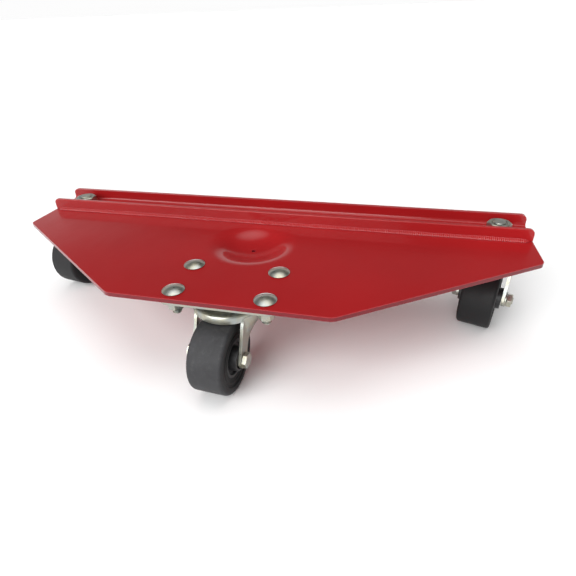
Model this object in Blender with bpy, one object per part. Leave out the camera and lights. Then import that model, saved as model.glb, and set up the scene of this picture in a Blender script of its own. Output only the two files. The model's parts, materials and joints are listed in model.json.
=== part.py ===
"""A steel wheel dolly on three swivel casters.

The deck is one bent plate with a dish pressed into it, a lip folded up along its rear
edge and a rail welded in front of the lip, so that the two form a track. The front
caster is bolted on through its mount plate, and each rear caster hangs on a threaded
stem through the floor of the track.

X runs across the dolly, -Y is its front and Z is up. The origin is on the floor, midway
across the dolly and midway between its foremost and rearmost points. All sizes are in
metres.
"""

import math

import bmesh
import bpy
from mathutils import Matrix, Vector

# Clearances.
TOUCH_GAP = 0.0003  # between two pieces that rest on each other
HOLE_CLEARANCE = 0.0004  # around a shank, a stem or a bush in its hole
RUN_CLEARANCE = 0.0005  # between two pieces that turn past each other

# Deck plate.
DECK_THICKNESS = 0.0048
DECK_HALF_WIDTH = 0.304
FRONT_EDGE_HALF_WIDTH = 0.1106
RAIL_FRONT_Y = 0.0762
RAIL_TO_FRONT_EDGE = 0.178
RAIL_TO_SIDE_CORNER = 0.0473
DECK_CORNER_RADIUS = 0.004

# Track: the rail, the plate's rear lip and the floor between them.
TRACK_END_INSET = 0.0018
TRACK_CLEAR_WIDTH = 0.038
RAIL_HEIGHT = 0.0143
RAIL_THICKNESS = 0.0048
LIP_HEIGHT = 0.013
LIP_BEND_RADIUS = 0.004
TRACK_CORNER_RADIUS = 0.006
WELD_LEG = 0.0035
WELD_END_INSET = 0.004
WELD_CONVEXITY = 0.8  # how far the bead bulges, as a share of its leg

# Dish pressed into the deck, an S-shaped profile that turns from convex to concave.
DISH_RADIUS = 0.054
DISH_SHOULDER_WIDTH = 0.0213
DISH_STEEPEST = math.radians(24.0)
DISH_FLAT_RADIUS = 0.005
DISH_HOLE_RADIUS = 0.0025

# Carriage bolts, washers and nuts of the front caster.
BOLT_RADIUS = 0.0047
BOLT_LENGTH = 0.0254
BOLT_HEAD_RADIUS = 0.011
BOLT_HEAD_HEIGHT = 0.0034
BOLT_NECK_WIDTH = 0.0095
BOLT_SPACING_X = 0.092
BOLT_SPACING_Y = 0.0497
BOLT_NUT_FLATS = 0.0143
BOLT_NUT_HEIGHT = 0.0083
BOLT_WASHER_RADIUS = 0.0095
BOLT_WASHER_THICKNESS = 0.002

# Mount plate of the front caster, and the round head plate of the stem casters.
MOUNT_PLATE_WIDTH = 0.1143
MOUNT_PLATE_FRONT_REACH = 0.0385
MOUNT_PLATE_REAR_REACH = 0.0326
MOUNT_PLATE_CORNER_RADIUS = 0.008
MOUNT_PLATE_SETBACK = 0.0015
HEAD_PLATE_THICKNESS = 0.0035
HEAD_PLATE_RADIUS = 0.032
UPPER_RACE_RADIUS = 0.0305
UPPER_RACE_DEPTH = 0.0041

# Threaded stems of the rear casters.
STEM_FROM_TRACK_END = 0.0322
STEM_RADIUS = 0.0079
STEM_STAND_OUT = 0.001
STEM_NUT_FLATS = 0.024
STEM_NUT_HEIGHT = 0.008
STEM_WASHER_RADIUS = 0.0125
STEM_WASHER_THICKNESS = 0.002

# Swivel bearing, the same in all three casters.
KINGPIN_RADIUS = 0.006
KINGPIN_HEAD_RADIUS = 0.0125
KINGPIN_HEAD_THICKNESS = 0.0024
KINGPIN_PEEN_RADIUS = 0.009
KINGPIN_PEEN_THICKNESS = 0.0025
BALL_RADIUS = 0.0022
BALL_CAGE_RADIUS = 0.001
BALL_COUNT = 10
UPPER_BALL_PITCH_RADIUS = 0.025
LOWER_BALL_PITCH_RADIUS = 0.019
LOWER_RACE_RADIUS = 0.0225
LOWER_RACE_THICKNESS = 0.0025

# Fork.
FORK_THICKNESS = 0.003
CROWN_RADIUS = 0.0365
CROWN_SHOULDER_RADIUS = 0.004
CROWN_SKIRT_HEIGHT = 0.0088
LEG_PROUD_OF_CROWN = 0.0005
LEG_REAR_AT_CROWN = 0.025
LEG_BOSS_RADIUS = 0.0085
LEG_FLAT_ABOVE_AXLE = 0.014
LEG_END_SWEEP = math.radians(70.0)

# Wheels and axles.
CASTER_HEIGHT = 0.0985
CASTER_TRAIL = 0.035
WHEEL_RADIUS = 0.0375
WHEEL_WIDTH = 0.0365
TREAD_WIDTH = 0.021
TYRE_BORE_RADIUS = 0.02
TYRE_SIDE_INSET = 0.0015
CORE_WEB_WIDTH = 0.026
CORE_BOSS_RADIUS = 0.0125
CORE_RIM_THICKNESS = 0.003
HUB_LENGTH = 0.0455
BEARING_RADIUS = 0.0095
BEARING_LENGTH = 0.038
AXLE_SLEEVE_RADIUS = 0.0063
AXLE_RADIUS = 0.0047
AXLE_HEAD_FLATS = 0.0143
AXLE_HEAD_HEIGHT = 0.0045
AXLE_NUT_HEIGHT = 0.0055
AXLE_WASHER_RADIUS = 0.0085
AXLE_WASHER_THICKNESS = 0.0015
AXLE_STAND_OUT = 0.001

# Which way each wheel trails: the angle from -Y towards +X.
FRONT_HEADING = math.radians(-4.0)
LEFT_HEADING = math.radians(-9.0)
RIGHT_HEADING = math.radians(-16.5)

# Finishes: base colour, metallic and roughness.
RED_PAINT = ((0.37, 0.012, 0.014), 0.0, 0.35)
ZINC = ((0.62, 0.64, 0.62), 1.0, 0.3)
STEEL = ((0.45, 0.45, 0.45), 1.0, 0.35)
RUBBER = ((0.045, 0.045, 0.048), 0.0, 0.6)
BLACK_PLASTIC = ((0.012, 0.012, 0.013), 0.0, 0.45)

# Facets of the round shapes.
FACETS_DISH = 32
FACETS_WHEEL = 28
FACETS_BEARING = 24
FACETS_PIN = 12
ARC_STEPS = 3
LEG_ROWS = 7
LEG_COLUMNS = 5
LEG_END_ROWS = 3
BALL_FACETS = 6
SHARP_EDGE = math.radians(35.0)

# Drawing tolerances: points nearer than this are one point, and smaller faces are none.
SAME_POINT = 1e-6
NO_AREA = 1e-12

# Heights and places that follow from the sizes above.
DECK_UNDERSIDE = CASTER_HEIGHT
DECK_TOP = DECK_UNDERSIDE + DECK_THICKNESS
TRACK_HALF_LENGTH = DECK_HALF_WIDTH - TRACK_END_INSET
FRONT_EDGE_Y = RAIL_FRONT_Y - RAIL_TO_FRONT_EDGE
SIDE_CORNER_Y = RAIL_FRONT_Y - RAIL_TO_SIDE_CORNER
LIP_FRONT_Y = RAIL_FRONT_Y + RAIL_THICKNESS + TRACK_CLEAR_WIDTH
TRACK_MIDDLE_Y = LIP_FRONT_Y - TRACK_CLEAR_WIDTH / 2
DISH_CENTRE_Y = RAIL_FRONT_Y - DISH_RADIUS
FRONT_CASTER_Y = FRONT_EDGE_Y + MOUNT_PLATE_SETBACK + MOUNT_PLATE_FRONT_REACH
STEM_X = TRACK_HALF_LENGTH - STEM_FROM_TRACK_END
HEAD_TOP = DECK_UNDERSIDE - TOUCH_GAP
HEAD_BOTTOM = HEAD_TOP - HEAD_PLATE_THICKNESS
UPPER_RACE_BOTTOM = HEAD_BOTTOM - UPPER_RACE_DEPTH
KINGPIN_HEAD_BOTTOM = HEAD_TOP - TOUCH_GAP - KINGPIN_HEAD_THICKNESS
CROWN_TOP = UPPER_RACE_BOTTOM - 2 * (BALL_RADIUS + TOUCH_GAP)
CROWN_UNDERSIDE = CROWN_TOP - FORK_THICKNESS
SKIRT_BOTTOM = CROWN_TOP - CROWN_SKIRT_HEIGHT
LOWER_RACE_TOP = CROWN_UNDERSIDE - 2 * (BALL_RADIUS + TOUCH_GAP)
PEEN_TOP = LOWER_RACE_TOP - LOWER_RACE_THICKNESS - TOUCH_GAP
LEG_INNER = HUB_LENGTH / 2 + RUN_CLEARANCE
LEG_OUTER = LEG_INNER + FORK_THICKNESS
AXLE_HEIGHT = WHEEL_RADIUS


def clear_scene():
    for obj in list(bpy.data.objects):
        bpy.data.objects.remove(obj, do_unlink=True)


def finish_material(name, colour, metallic, roughness):
    material = bpy.data.materials.new(name)
    material.use_nodes = True
    shader = material.node_tree.nodes["Principled BSDF"]
    shader.inputs["Base Color"].default_value = (*colour, 1.0)
    shader.inputs["Metallic"].default_value = metallic
    shader.inputs["Roughness"].default_value = roughness
    return material


def add_object(name, bm, finish, parent=None, outwards=None):
    """Turn a bmesh into a named object in its parent's axes, shaded smooth on round parts.

    An open sheet names the direction that its first face looks in.
    """
    bmesh.ops.recalc_face_normals(bm, faces=bm.faces)
    bm.faces.ensure_lookup_table()
    if outwards and bm.faces[0].normal.dot(outwards) < 0:
        bmesh.ops.reverse_faces(bm, faces=bm.faces)
    mesh = bpy.data.meshes.new(name)
    bm.to_mesh(mesh)
    bm.free()
    mesh.shade_smooth()
    mesh.set_sharp_from_angle(angle=SHARP_EDGE)
    colour, metallic, roughness = finish
    mesh.materials.append(finish_material(name, colour, metallic, roughness))
    obj = bpy.data.objects.new(name, mesh)
    bpy.context.collection.objects.link(obj)
    obj.parent = parent
    return obj


def add_empty(name, location, rotation=(0.0, 0.0, 0.0), parent=None):
    empty = bpy.data.objects.new(name, None)
    empty.location = location
    empty.rotation_euler = rotation
    bpy.context.collection.objects.link(empty)
    empty.parent = parent
    return empty


def combine(obj, tool, operation):
    """Join the tool to the object or cut it away. The tool itself stays out of the build."""
    tool.hide_render = True
    tool.display_type = "WIRE"
    modifier = obj.modifiers.new(tool.name, "BOOLEAN")
    modifier.operation = operation
    modifier.object = tool


def circle(radius, facets, centre=(0.0, 0.0), start=0.0):
    points = []
    for index in range(facets):
        angle = start + math.tau * index / facets
        points.append((centre[0] + radius * math.cos(angle), centre[1] + radius * math.sin(angle)))
    return points


def square(width, centre):
    half = width / 2
    x, y = centre
    return [(x - half, y - half), (x + half, y - half), (x + half, y + half), (x - half, y + half)]


def hexagon(across_flats):
    return circle(across_flats / math.sqrt(3), 6)


def rounded(corners, radius):
    """Round each corner of an outline with an arc tangent to its two sides."""
    points = []
    count = len(corners)
    for index in range(count):
        here = corners[index]
        before = corners[index - 1]
        after = corners[(index + 1) % count]
        arrive = math.atan2(here[1] - before[1], here[0] - before[0])
        leave = math.atan2(after[1] - here[1], after[0] - here[0])
        turn = (leave - arrive + math.pi) % math.tau - math.pi
        back = radius * math.tan(abs(turn) / 2)
        side = math.copysign(math.pi / 2, turn)
        start_x = here[0] - back * math.cos(arrive)
        start_y = here[1] - back * math.sin(arrive)
        centre_x = start_x + radius * math.cos(arrive + side)
        centre_y = start_y + radius * math.sin(arrive + side)
        for step in range(ARC_STEPS + 1):
            angle = arrive - side + turn * step / ARC_STEPS
            points.append((centre_x + radius * math.cos(angle), centre_y + radius * math.sin(angle)))
    return points


def add_loop(bm, points, z):
    verts = [bm.verts.new((x, y, z)) for x, y in points]
    return [bm.edges.new((verts[index - 1], verts[index])) for index in range(len(verts))]


def sheet(outline, holes, z):
    """A flat face with holes. Returns the bmesh and the edges of the outline and of each hole."""
    bm = bmesh.new()
    loops = [add_loop(bm, points, z) for points in [outline, *holes]]
    edges = [edge for loop in loops for edge in loop]
    bmesh.ops.triangle_fill(bm, use_beauty=True, edges=edges, normal=(0, 0, 1))
    return bm, loops


def slab(outline, holes, z_low, z_high):
    """A flat piece of even thickness with holes through it."""
    bm, _ = sheet(outline, holes, z_low)
    top = bmesh.ops.extrude_face_region(bm, geom=bm.faces[:])
    verts = [item for item in top["geom"] if isinstance(item, bmesh.types.BMVert)]
    bmesh.ops.translate(bm, verts=verts, vec=(0, 0, z_high - z_low))
    return bm


def turned(profile, facets):
    """Turn a closed profile of (radius, z) points about the Z axis."""
    bm = bmesh.new()
    verts = [bm.verts.new((radius, 0, z)) for radius, z in profile]
    edges = [bm.edges.new((verts[index - 1], verts[index])) for index in range(len(verts))]
    bmesh.ops.spin(
        bm,
        geom=verts + edges,
        cent=(0, 0, 0),
        axis=(0, 0, 1),
        angle=math.tau,
        steps=facets,
        use_merge=True,
    )
    bmesh.ops.remove_doubles(bm, verts=bm.verts, dist=SAME_POINT)
    bmesh.ops.dissolve_degenerate(bm, edges=bm.edges, dist=SAME_POINT)
    loose = [vert for vert in bm.verts if not vert.link_faces]
    bmesh.ops.delete(bm, geom=loose, context="VERTS")
    wires = [edge for edge in bm.edges if not edge.link_faces]
    bmesh.ops.delete(bm, geom=wires, context="EDGES")
    axial = [face for face in bm.faces if face.calc_area() < NO_AREA]
    bmesh.ops.delete(bm, geom=axial, context="FACES_ONLY")
    return bm


def tube(inner, outer, z_low, z_high, facets):
    return turned([(inner, z_low), (outer, z_low), (outer, z_high), (inner, z_high)], facets)


def smoothstep(share):
    share = min(max(share, 0.0), 1.0)
    return share * share * (3 - 2 * share)


def dish_rings():
    """(radius, depth) of the dish's rings, from its rim in to its flat centre."""
    shoulder = DISH_SHOULDER_WIDTH / math.sin(DISH_STEEPEST)
    bowl_width = DISH_RADIUS - DISH_SHOULDER_WIDTH - DISH_FLAT_RADIUS
    bowl = bowl_width / math.sin(DISH_STEEPEST)
    rings = []
    for step in range(1, ARC_STEPS + 1):
        angle = DISH_STEEPEST * step / ARC_STEPS
        rings.append((DISH_RADIUS - shoulder * math.sin(angle), shoulder * (1 - math.cos(angle))))
    shoulder_depth = rings[-1][1]
    for step in range(ARC_STEPS - 1, -1, -1):
        angle = DISH_STEEPEST * step / ARC_STEPS
        radius = DISH_FLAT_RADIUS + bowl * math.sin(angle)
        depth = shoulder_depth + bowl * (math.cos(angle) - math.cos(DISH_STEEPEST))
        rings.append((radius, depth))
    rings.append((DISH_HOLE_RADIUS, rings[-1][1]))
    return rings


def extrude_edges(bm, edges):
    result = bmesh.ops.extrude_edge_only(bm, edges=edges)["geom"]
    verts = [item for item in result if isinstance(item, bmesh.types.BMVert)]
    new_edges = [item for item in result if isinstance(item, bmesh.types.BMEdge)]
    return verts, [edge for edge in new_edges if all(vert in verts for vert in edge.verts)]


def press_dish(bm, rim):
    """Draw the sheet down inside the rim, ring by ring."""
    radius, depth = DISH_RADIUS, 0.0
    centre = Matrix.Translation((0, -DISH_CENTRE_Y, 0))
    for next_radius, next_depth in dish_rings():
        verts, rim = extrude_edges(bm, rim)
        shrink = next_radius / radius
        bmesh.ops.scale(bm, verts=verts, vec=(shrink, shrink, 1), space=centre)
        bmesh.ops.translate(bm, verts=verts, vec=(0, 0, depth - next_depth))
        radius, depth = next_radius, next_depth


def deck_outline(rear_y):
    """Half of the outline runs from the front edge to the rear, and the other half mirrors it."""
    right = [
        (FRONT_EDGE_HALF_WIDTH, FRONT_EDGE_Y),
        (DECK_HALF_WIDTH, SIDE_CORNER_Y),
        (TRACK_HALF_LENGTH, RAIL_FRONT_Y),
    ]
    left = [(-x, y) for x, y in reversed(right)]
    rear = [(TRACK_HALF_LENGTH, rear_y), (-TRACK_HALF_LENGTH, rear_y)]
    outline = rounded([*right, *rear, *left], DECK_CORNER_RADIUS)
    arc_points = ARC_STEPS + 1
    before_rear = outline[: len(right) * arc_points]
    after_rear = outline[-len(left) * arc_points :]
    return before_rear + rear + after_rear


def front_bolt_places():
    """Name and centre of each carriage bolt."""
    places = {}
    for row, side_y in (("front", -1), ("rear", 1)):
        for column, side_x in (("left", -1), ("right", 1)):
            x = side_x * BOLT_SPACING_X / 2
            y = FRONT_CASTER_Y + side_y * BOLT_SPACING_Y / 2
            places[f"{row}_{column}"] = (x, y)
    return places


def add_deck_plate():
    """The sheet's top face is drawn first, and Solidify gives it its thickness downwards."""
    bend_start = LIP_FRONT_Y - LIP_BEND_RADIUS
    dish = circle(DISH_RADIUS, FACETS_DISH, (0.0, DISH_CENTRE_Y))
    holes = [square(BOLT_NECK_WIDTH + 2 * TOUCH_GAP, place) for place in front_bolt_places().values()]
    for side in (-1, 1):
        centre = (side * STEM_X, TRACK_MIDDLE_Y)
        holes.append(circle(STEM_RADIUS + HOLE_CLEARANCE, FACETS_BEARING, centre))
    bm, loops = sheet(deck_outline(bend_start), [dish, *holes], DECK_TOP)
    press_dish(bm, loops[1])
    rear = [e for e in loops[0] if all(abs(v.co.y - bend_start) < SAME_POINT for v in e.verts)]
    bend = bmesh.ops.spin(
        bm,
        geom=rear,
        cent=(0, bend_start, DECK_TOP + LIP_BEND_RADIUS),
        axis=(1, 0, 0),
        angle=math.pi / 2,
        steps=ARC_STEPS,
    )
    bend_edges = [item for item in bend["geom_last"] if isinstance(item, bmesh.types.BMEdge)]
    straight = LIP_HEIGHT - LIP_BEND_RADIUS - TRACK_CORNER_RADIUS
    heights = [straight]
    insets = [0.0]
    for step in range(1, ARC_STEPS + 1):
        angle = math.pi / 2 * step / ARC_STEPS
        heights.append(straight + TRACK_CORNER_RADIUS * math.sin(angle))
        insets.append(TRACK_CORNER_RADIUS * (1 - math.cos(angle)))
    for height, inset in zip(heights, insets):
        verts, bend_edges = extrude_edges(bm, bend_edges)
        for vert in verts:
            vert.co.x = math.copysign(TRACK_HALF_LENGTH - inset, vert.co.x)
            vert.co.z = DECK_TOP + LIP_BEND_RADIUS + height
    bmesh.ops.remove_doubles(bm, verts=bm.verts, dist=SAME_POINT)
    deck = add_object("deck_plate", bm, RED_PAINT, outwards=Vector((0, 0, 1)))
    thickness = deck.modifiers.new("plate thickness", "SOLIDIFY")
    thickness.thickness = DECK_THICKNESS
    thickness.offset = -1.0
    thickness.use_even_offset = True
    return deck


def add_rail():
    """A flat bar on edge, with its two upper corners rounded."""
    low = DECK_TOP + TOUCH_GAP
    high = DECK_TOP + RAIL_HEIGHT
    end = TRACK_HALF_LENGTH
    upper = [(end, high), (-end, high)]
    arcs = rounded([(-end, low), (end, low), *upper], TRACK_CORNER_RADIUS)
    first_upper = 2 * (ARC_STEPS + 1)
    outline = [(-end, low), (end, low)] + arcs[first_upper:]
    bm = slab(outline, [], 0, RAIL_THICKNESS)
    stand_up = Matrix.Rotation(math.pi / 2, 4, "X")
    place = Matrix.Translation((0, RAIL_FRONT_Y + RAIL_THICKNESS, 0))
    bmesh.ops.transform(bm, matrix=place @ stand_up, verts=bm.verts)
    add_object("track_rail", bm, RED_PAINT)


def add_rail_weld():
    """The fillet weld along the foot of the rail, which stops short of the rail's ends."""
    length = 2 * (TRACK_HALF_LENGTH - WELD_END_INSET)
    foot_y = RAIL_FRONT_Y - TOUCH_GAP
    foot_z = DECK_TOP + TOUCH_GAP
    section = [(0.0, 0.0), (-WELD_LEG, 0.0)]
    for step in range(1, ARC_STEPS):
        angle = math.pi / 2 * step / ARC_STEPS
        bulge = WELD_LEG * WELD_CONVEXITY
        section.append((-bulge * math.cos(angle), bulge * math.sin(angle)))
    section.append((0.0, WELD_LEG))
    bm = slab(section, [], -length / 2, length / 2)
    stand = Matrix(((0, 0, 1, 0), (1, 0, 0, foot_y), (0, 1, 0, foot_z), (0, 0, 0, 1)))
    bmesh.ops.transform(bm, matrix=stand, verts=bm.verts)
    add_object("rail_weld", bm, RED_PAINT)


def add_carriage_bolt(name, parent):
    """A domed head, a square neck that stops it turning in the deck, and a round shank."""
    seat = DECK_TOP + TOUCH_GAP
    dome = (BOLT_HEAD_RADIUS**2 + BOLT_HEAD_HEIGHT**2) / (2 * BOLT_HEAD_HEIGHT)
    sweep = math.asin(BOLT_HEAD_RADIUS / dome)
    profile = [(0.0, seat - BOLT_LENGTH), (BOLT_RADIUS, seat - BOLT_LENGTH), (BOLT_RADIUS, seat)]
    for step in range(ARC_STEPS + 1):
        angle = sweep * (1 - step / ARC_STEPS)
        profile.append((dome * math.sin(angle), seat + BOLT_HEAD_HEIGHT - dome * (1 - math.cos(angle))))
    bolt = add_object(name, turned(profile, 2 * FACETS_PIN), ZINC, parent)
    lap = BOLT_HEAD_HEIGHT / 4
    neck_bottom = DECK_UNDERSIDE + TOUCH_GAP
    neck = add_object(
        f"{name}_neck",
        slab(square(BOLT_NECK_WIDTH, (0.0, 0.0)), [], neck_bottom, seat + lap),
        ZINC,
        parent,
    )
    combine(bolt, neck, "UNION")


def add_front_fasteners():
    """Each carriage bolt with the washer and nut that clamp the mount plate under the deck."""
    washer_top = HEAD_BOTTOM - TOUCH_GAP
    washer_bottom = washer_top - BOLT_WASHER_THICKNESS
    nut_top = washer_bottom - TOUCH_GAP
    bore = BOLT_RADIUS + HOLE_CLEARANCE
    for place_name, (x, y) in front_bolt_places().items():
        place = add_empty(f"bolt_place_{place_name}", (x, y, 0.0))
        add_carriage_bolt(f"carriage_bolt_{place_name}", place)
        washer = tube(bore, BOLT_WASHER_RADIUS, washer_bottom, washer_top, FACETS_PIN)
        add_object(f"bolt_washer_{place_name}", washer, ZINC, place)
        bore_circle = circle(bore, FACETS_PIN)
        nut = slab(hexagon(BOLT_NUT_FLATS), [bore_circle], nut_top - BOLT_NUT_HEIGHT, nut_top)
        add_object(f"bolt_nut_{place_name}", nut, ZINC, place)


def head_profile(outer_radius):
    """Section of a head plate: a recess for the kingpin's head and the upper race below it."""
    bore = KINGPIN_RADIUS + HOLE_CLEARANCE
    recess = KINGPIN_HEAD_RADIUS + HOLE_CLEARANCE
    recess_floor = KINGPIN_HEAD_BOTTOM - TOUCH_GAP
    return [
        (bore, recess_floor),
        (recess, recess_floor),
        (recess, HEAD_TOP),
        (outer_radius, HEAD_TOP),
        (outer_radius, HEAD_BOTTOM),
        (UPPER_RACE_RADIUS, HEAD_BOTTOM),
        (UPPER_RACE_RADIUS, UPPER_RACE_BOTTOM),
        (bore, UPPER_RACE_BOTTOM),
    ]


def add_mount_plate(parent):
    """The plate reaches inside the turned head, and the Boolean joins the two into one."""
    name = "front_mount_plate"
    lap_radius = UPPER_RACE_RADIUS - HEAD_PLATE_THICKNESS
    head = turned(head_profile(UPPER_RACE_RADIUS + HEAD_PLATE_THICKNESS), FACETS_BEARING)
    plate = add_object(name, head, ZINC, parent)
    end = MOUNT_PLATE_WIDTH / 2
    front, rear = -MOUNT_PLATE_FRONT_REACH, MOUNT_PLATE_REAR_REACH
    corners = [(-end, front), (end, front), (end, rear), (-end, rear)]
    holes = [circle(lap_radius, FACETS_BEARING)]
    for x, y in front_bolt_places().values():
        bolt_hole = BOLT_RADIUS + HOLE_CLEARANCE
        holes.append(circle(bolt_hole, FACETS_PIN, (x, y - FRONT_CASTER_Y)))
    flange = slab(rounded(corners, MOUNT_PLATE_CORNER_RADIUS), holes, HEAD_BOTTOM, HEAD_TOP)
    combine(plate, add_object(f"{name}_flange", flange, ZINC, parent), "UNION")


def kingpin_profile(top):
    """Section of the pin below the head plate, closed by the points given for its top."""
    return [
        (0.0, PEEN_TOP - KINGPIN_PEEN_THICKNESS),
        (KINGPIN_PEEN_RADIUS, PEEN_TOP - KINGPIN_PEEN_THICKNESS),
        (KINGPIN_PEEN_RADIUS, PEEN_TOP),
        (KINGPIN_RADIUS, PEEN_TOP),
        (KINGPIN_RADIUS, KINGPIN_HEAD_BOTTOM),
        (KINGPIN_HEAD_RADIUS, KINGPIN_HEAD_BOTTOM),
        (KINGPIN_HEAD_RADIUS, KINGPIN_HEAD_BOTTOM + KINGPIN_HEAD_THICKNESS),
        *top,
    ]


def add_kingpin(parent):
    top = [(0.0, KINGPIN_HEAD_BOTTOM + KINGPIN_HEAD_THICKNESS)]
    add_object("front_kingpin", turned(kingpin_profile(top), FACETS_PIN), STEEL, parent)


def add_stem(side, parent):
    """The rear kingpin carries on up through the deck as a threaded stem with its own nut."""
    washer_bottom = DECK_TOP + TOUCH_GAP
    washer_top = washer_bottom + STEM_WASHER_THICKNESS
    nut_bottom = washer_top + TOUCH_GAP
    nut_top = nut_bottom + STEM_NUT_HEIGHT
    end = nut_top + STEM_STAND_OUT
    shoulder = KINGPIN_HEAD_BOTTOM + KINGPIN_HEAD_THICKNESS
    top = [(STEM_RADIUS, shoulder), (STEM_RADIUS, end), (0.0, end)]
    add_object(f"{side}_stem", turned(kingpin_profile(top), FACETS_BEARING), ZINC, parent)
    head = turned(head_profile(HEAD_PLATE_RADIUS), FACETS_BEARING)
    add_object(f"{side}_head_plate", head, ZINC, parent)
    bore = STEM_RADIUS + HOLE_CLEARANCE
    washer = tube(bore, STEM_WASHER_RADIUS, washer_bottom, washer_top, FACETS_BEARING)
    add_object(f"{side}_stem_washer", washer, ZINC, parent)
    nut = slab(hexagon(STEM_NUT_FLATS), [circle(bore, FACETS_BEARING)], nut_bottom, nut_top)
    add_object(f"{side}_stem_nut", nut, ZINC, parent)


def ball_row(pitch_radius, height):
    """A row of balls and the cage that spaces them, drawn as one beaded ring."""
    bm = bmesh.new()
    loops = []
    for index in range(2 * BALL_COUNT):
        section = BALL_RADIUS if index % 2 == 0 else BALL_CAGE_RADIUS
        turn = Matrix.Rotation(math.pi * index / BALL_COUNT, 4, "Z")
        points = [Vector((pitch_radius + x, 0, height + z)) for x, z in circle(section, BALL_FACETS)]
        loops.append([bm.verts.new(turn @ point) for point in points])
    for index, loop in enumerate(loops):
        before = loops[index - 1]
        for corner in range(len(loop)):
            bm.faces.new((before[corner - 1], before[corner], loop[corner], loop[corner - 1]))
    return bm


def crown_profile():
    """Section of the fork's crown: a flat top, a rounded shoulder and a skirt."""
    bore = KINGPIN_RADIUS + RUN_CLEARANCE
    inner_shoulder = CROWN_SHOULDER_RADIUS - FORK_THICKNESS
    centre_r = CROWN_RADIUS - CROWN_SHOULDER_RADIUS
    centre_z = CROWN_TOP - CROWN_SHOULDER_RADIUS
    profile = [(bore, CROWN_UNDERSIDE)]
    for step in range(ARC_STEPS + 1):
        angle = math.pi / 2 * (1 - step / ARC_STEPS)
        radius = centre_r + inner_shoulder * math.cos(angle)
        profile.append((radius, centre_z + inner_shoulder * math.sin(angle)))
    profile.append((CROWN_RADIUS - FORK_THICKNESS, SKIRT_BOTTOM))
    profile.append((CROWN_RADIUS, SKIRT_BOTTOM))
    for step in range(ARC_STEPS + 1):
        angle = math.pi / 2 * step / ARC_STEPS
        radius = centre_r + CROWN_SHOULDER_RADIUS * math.cos(angle)
        profile.append((radius, centre_z + CROWN_SHOULDER_RADIUS * math.sin(angle)))
    profile.append((bore, CROWN_TOP))
    return profile


def leg_grid(side):
    """The outer face of one leg: it leaves the round crown and flattens on its way down."""
    top = CROWN_TOP - CROWN_SHOULDER_RADIUS
    round_radius = CROWN_RADIUS + LEG_PROUD_OF_CROWN
    front_at_crown = math.sqrt(round_radius**2 - LEG_OUTER**2)
    rows = []
    for step in range(LEG_ROWS + 1):
        share = step / LEG_ROWS
        height = top + (AXLE_HEIGHT - top) * share
        front = front_at_crown + (CASTER_TRAIL + LEG_BOSS_RADIUS - front_at_crown) * share
        rear_end = CASTER_TRAIL - LEG_BOSS_RADIUS
        narrowing = 1 - (1 - share) ** 2
        rear = -LEG_REAR_AT_CROWN + (rear_end + LEG_REAR_AT_CROWN) * narrowing
        rows.append((height, rear, front))
    for step in range(1, LEG_END_ROWS + 1):
        angle = LEG_END_SWEEP * step / LEG_END_ROWS
        half = LEG_BOSS_RADIUS * math.cos(angle)
        height = AXLE_HEIGHT - LEG_BOSS_RADIUS * math.sin(angle)
        rows.append((height, CASTER_TRAIL - half, CASTER_TRAIL + half))
    flat_height = AXLE_HEIGHT + LEG_FLAT_ABOVE_AXLE
    bm = bmesh.new()
    grid = []
    for height, rear, front in rows:
        flat = smoothstep((top - height) / (top - flat_height))
        line = []
        for column in range(LEG_COLUMNS + 1):
            trail = rear + (front - rear) * column / LEG_COLUMNS
            bulge = math.sqrt(max(round_radius**2 - trail**2, LEG_OUTER**2))
            out = bulge + (LEG_OUTER - bulge) * flat
            line.append(bm.verts.new((side * out, -trail, height)))
        grid.append(line)
    for upper, lower in zip(grid, grid[1:]):
        for column in range(LEG_COLUMNS):
            bm.faces.new((upper[column], upper[column + 1], lower[column + 1], lower[column]))
    return bm


def add_leg(name, side, parent):
    """The grid is the leg's outer face, and Solidify thickens it towards the wheel."""
    leg = add_object(name, leg_grid(side), ZINC, parent, outwards=Vector((side, 0, 0)))
    thickness = leg.modifiers.new("leg thickness", "SOLIDIFY")
    thickness.thickness = FORK_THICKNESS
    thickness.offset = -1.0
    thickness.use_even_offset = True
    return leg


def along_axle(bm):
    """Stand a shape that was drawn about Z on the axle, whose axis is local X."""
    lay_down = Matrix.Rotation(math.pi / 2, 4, "Y")
    place = Matrix.Translation((0, -CASTER_TRAIL, AXLE_HEIGHT))
    bmesh.ops.transform(bm, matrix=place @ lay_down, verts=bm.verts)
    return bm


def add_fork(corner, parent):
    name = f"{corner}_fork"
    fork = add_object(name, turned(crown_profile(), FACETS_WHEEL), ZINC, parent)
    for side_name, side in (("left", -1), ("right", 1)):
        combine(fork, add_leg(f"{name}_{side_name}_leg", side, parent), "UNION")
    reach = 2 * LEG_OUTER
    drill = along_axle(slab(circle(AXLE_RADIUS + HOLE_CLEARANCE, FACETS_PIN), [], -reach, reach))
    combine(fork, add_object(f"{name}_drill", drill, ZINC, parent), "DIFFERENCE")


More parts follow.
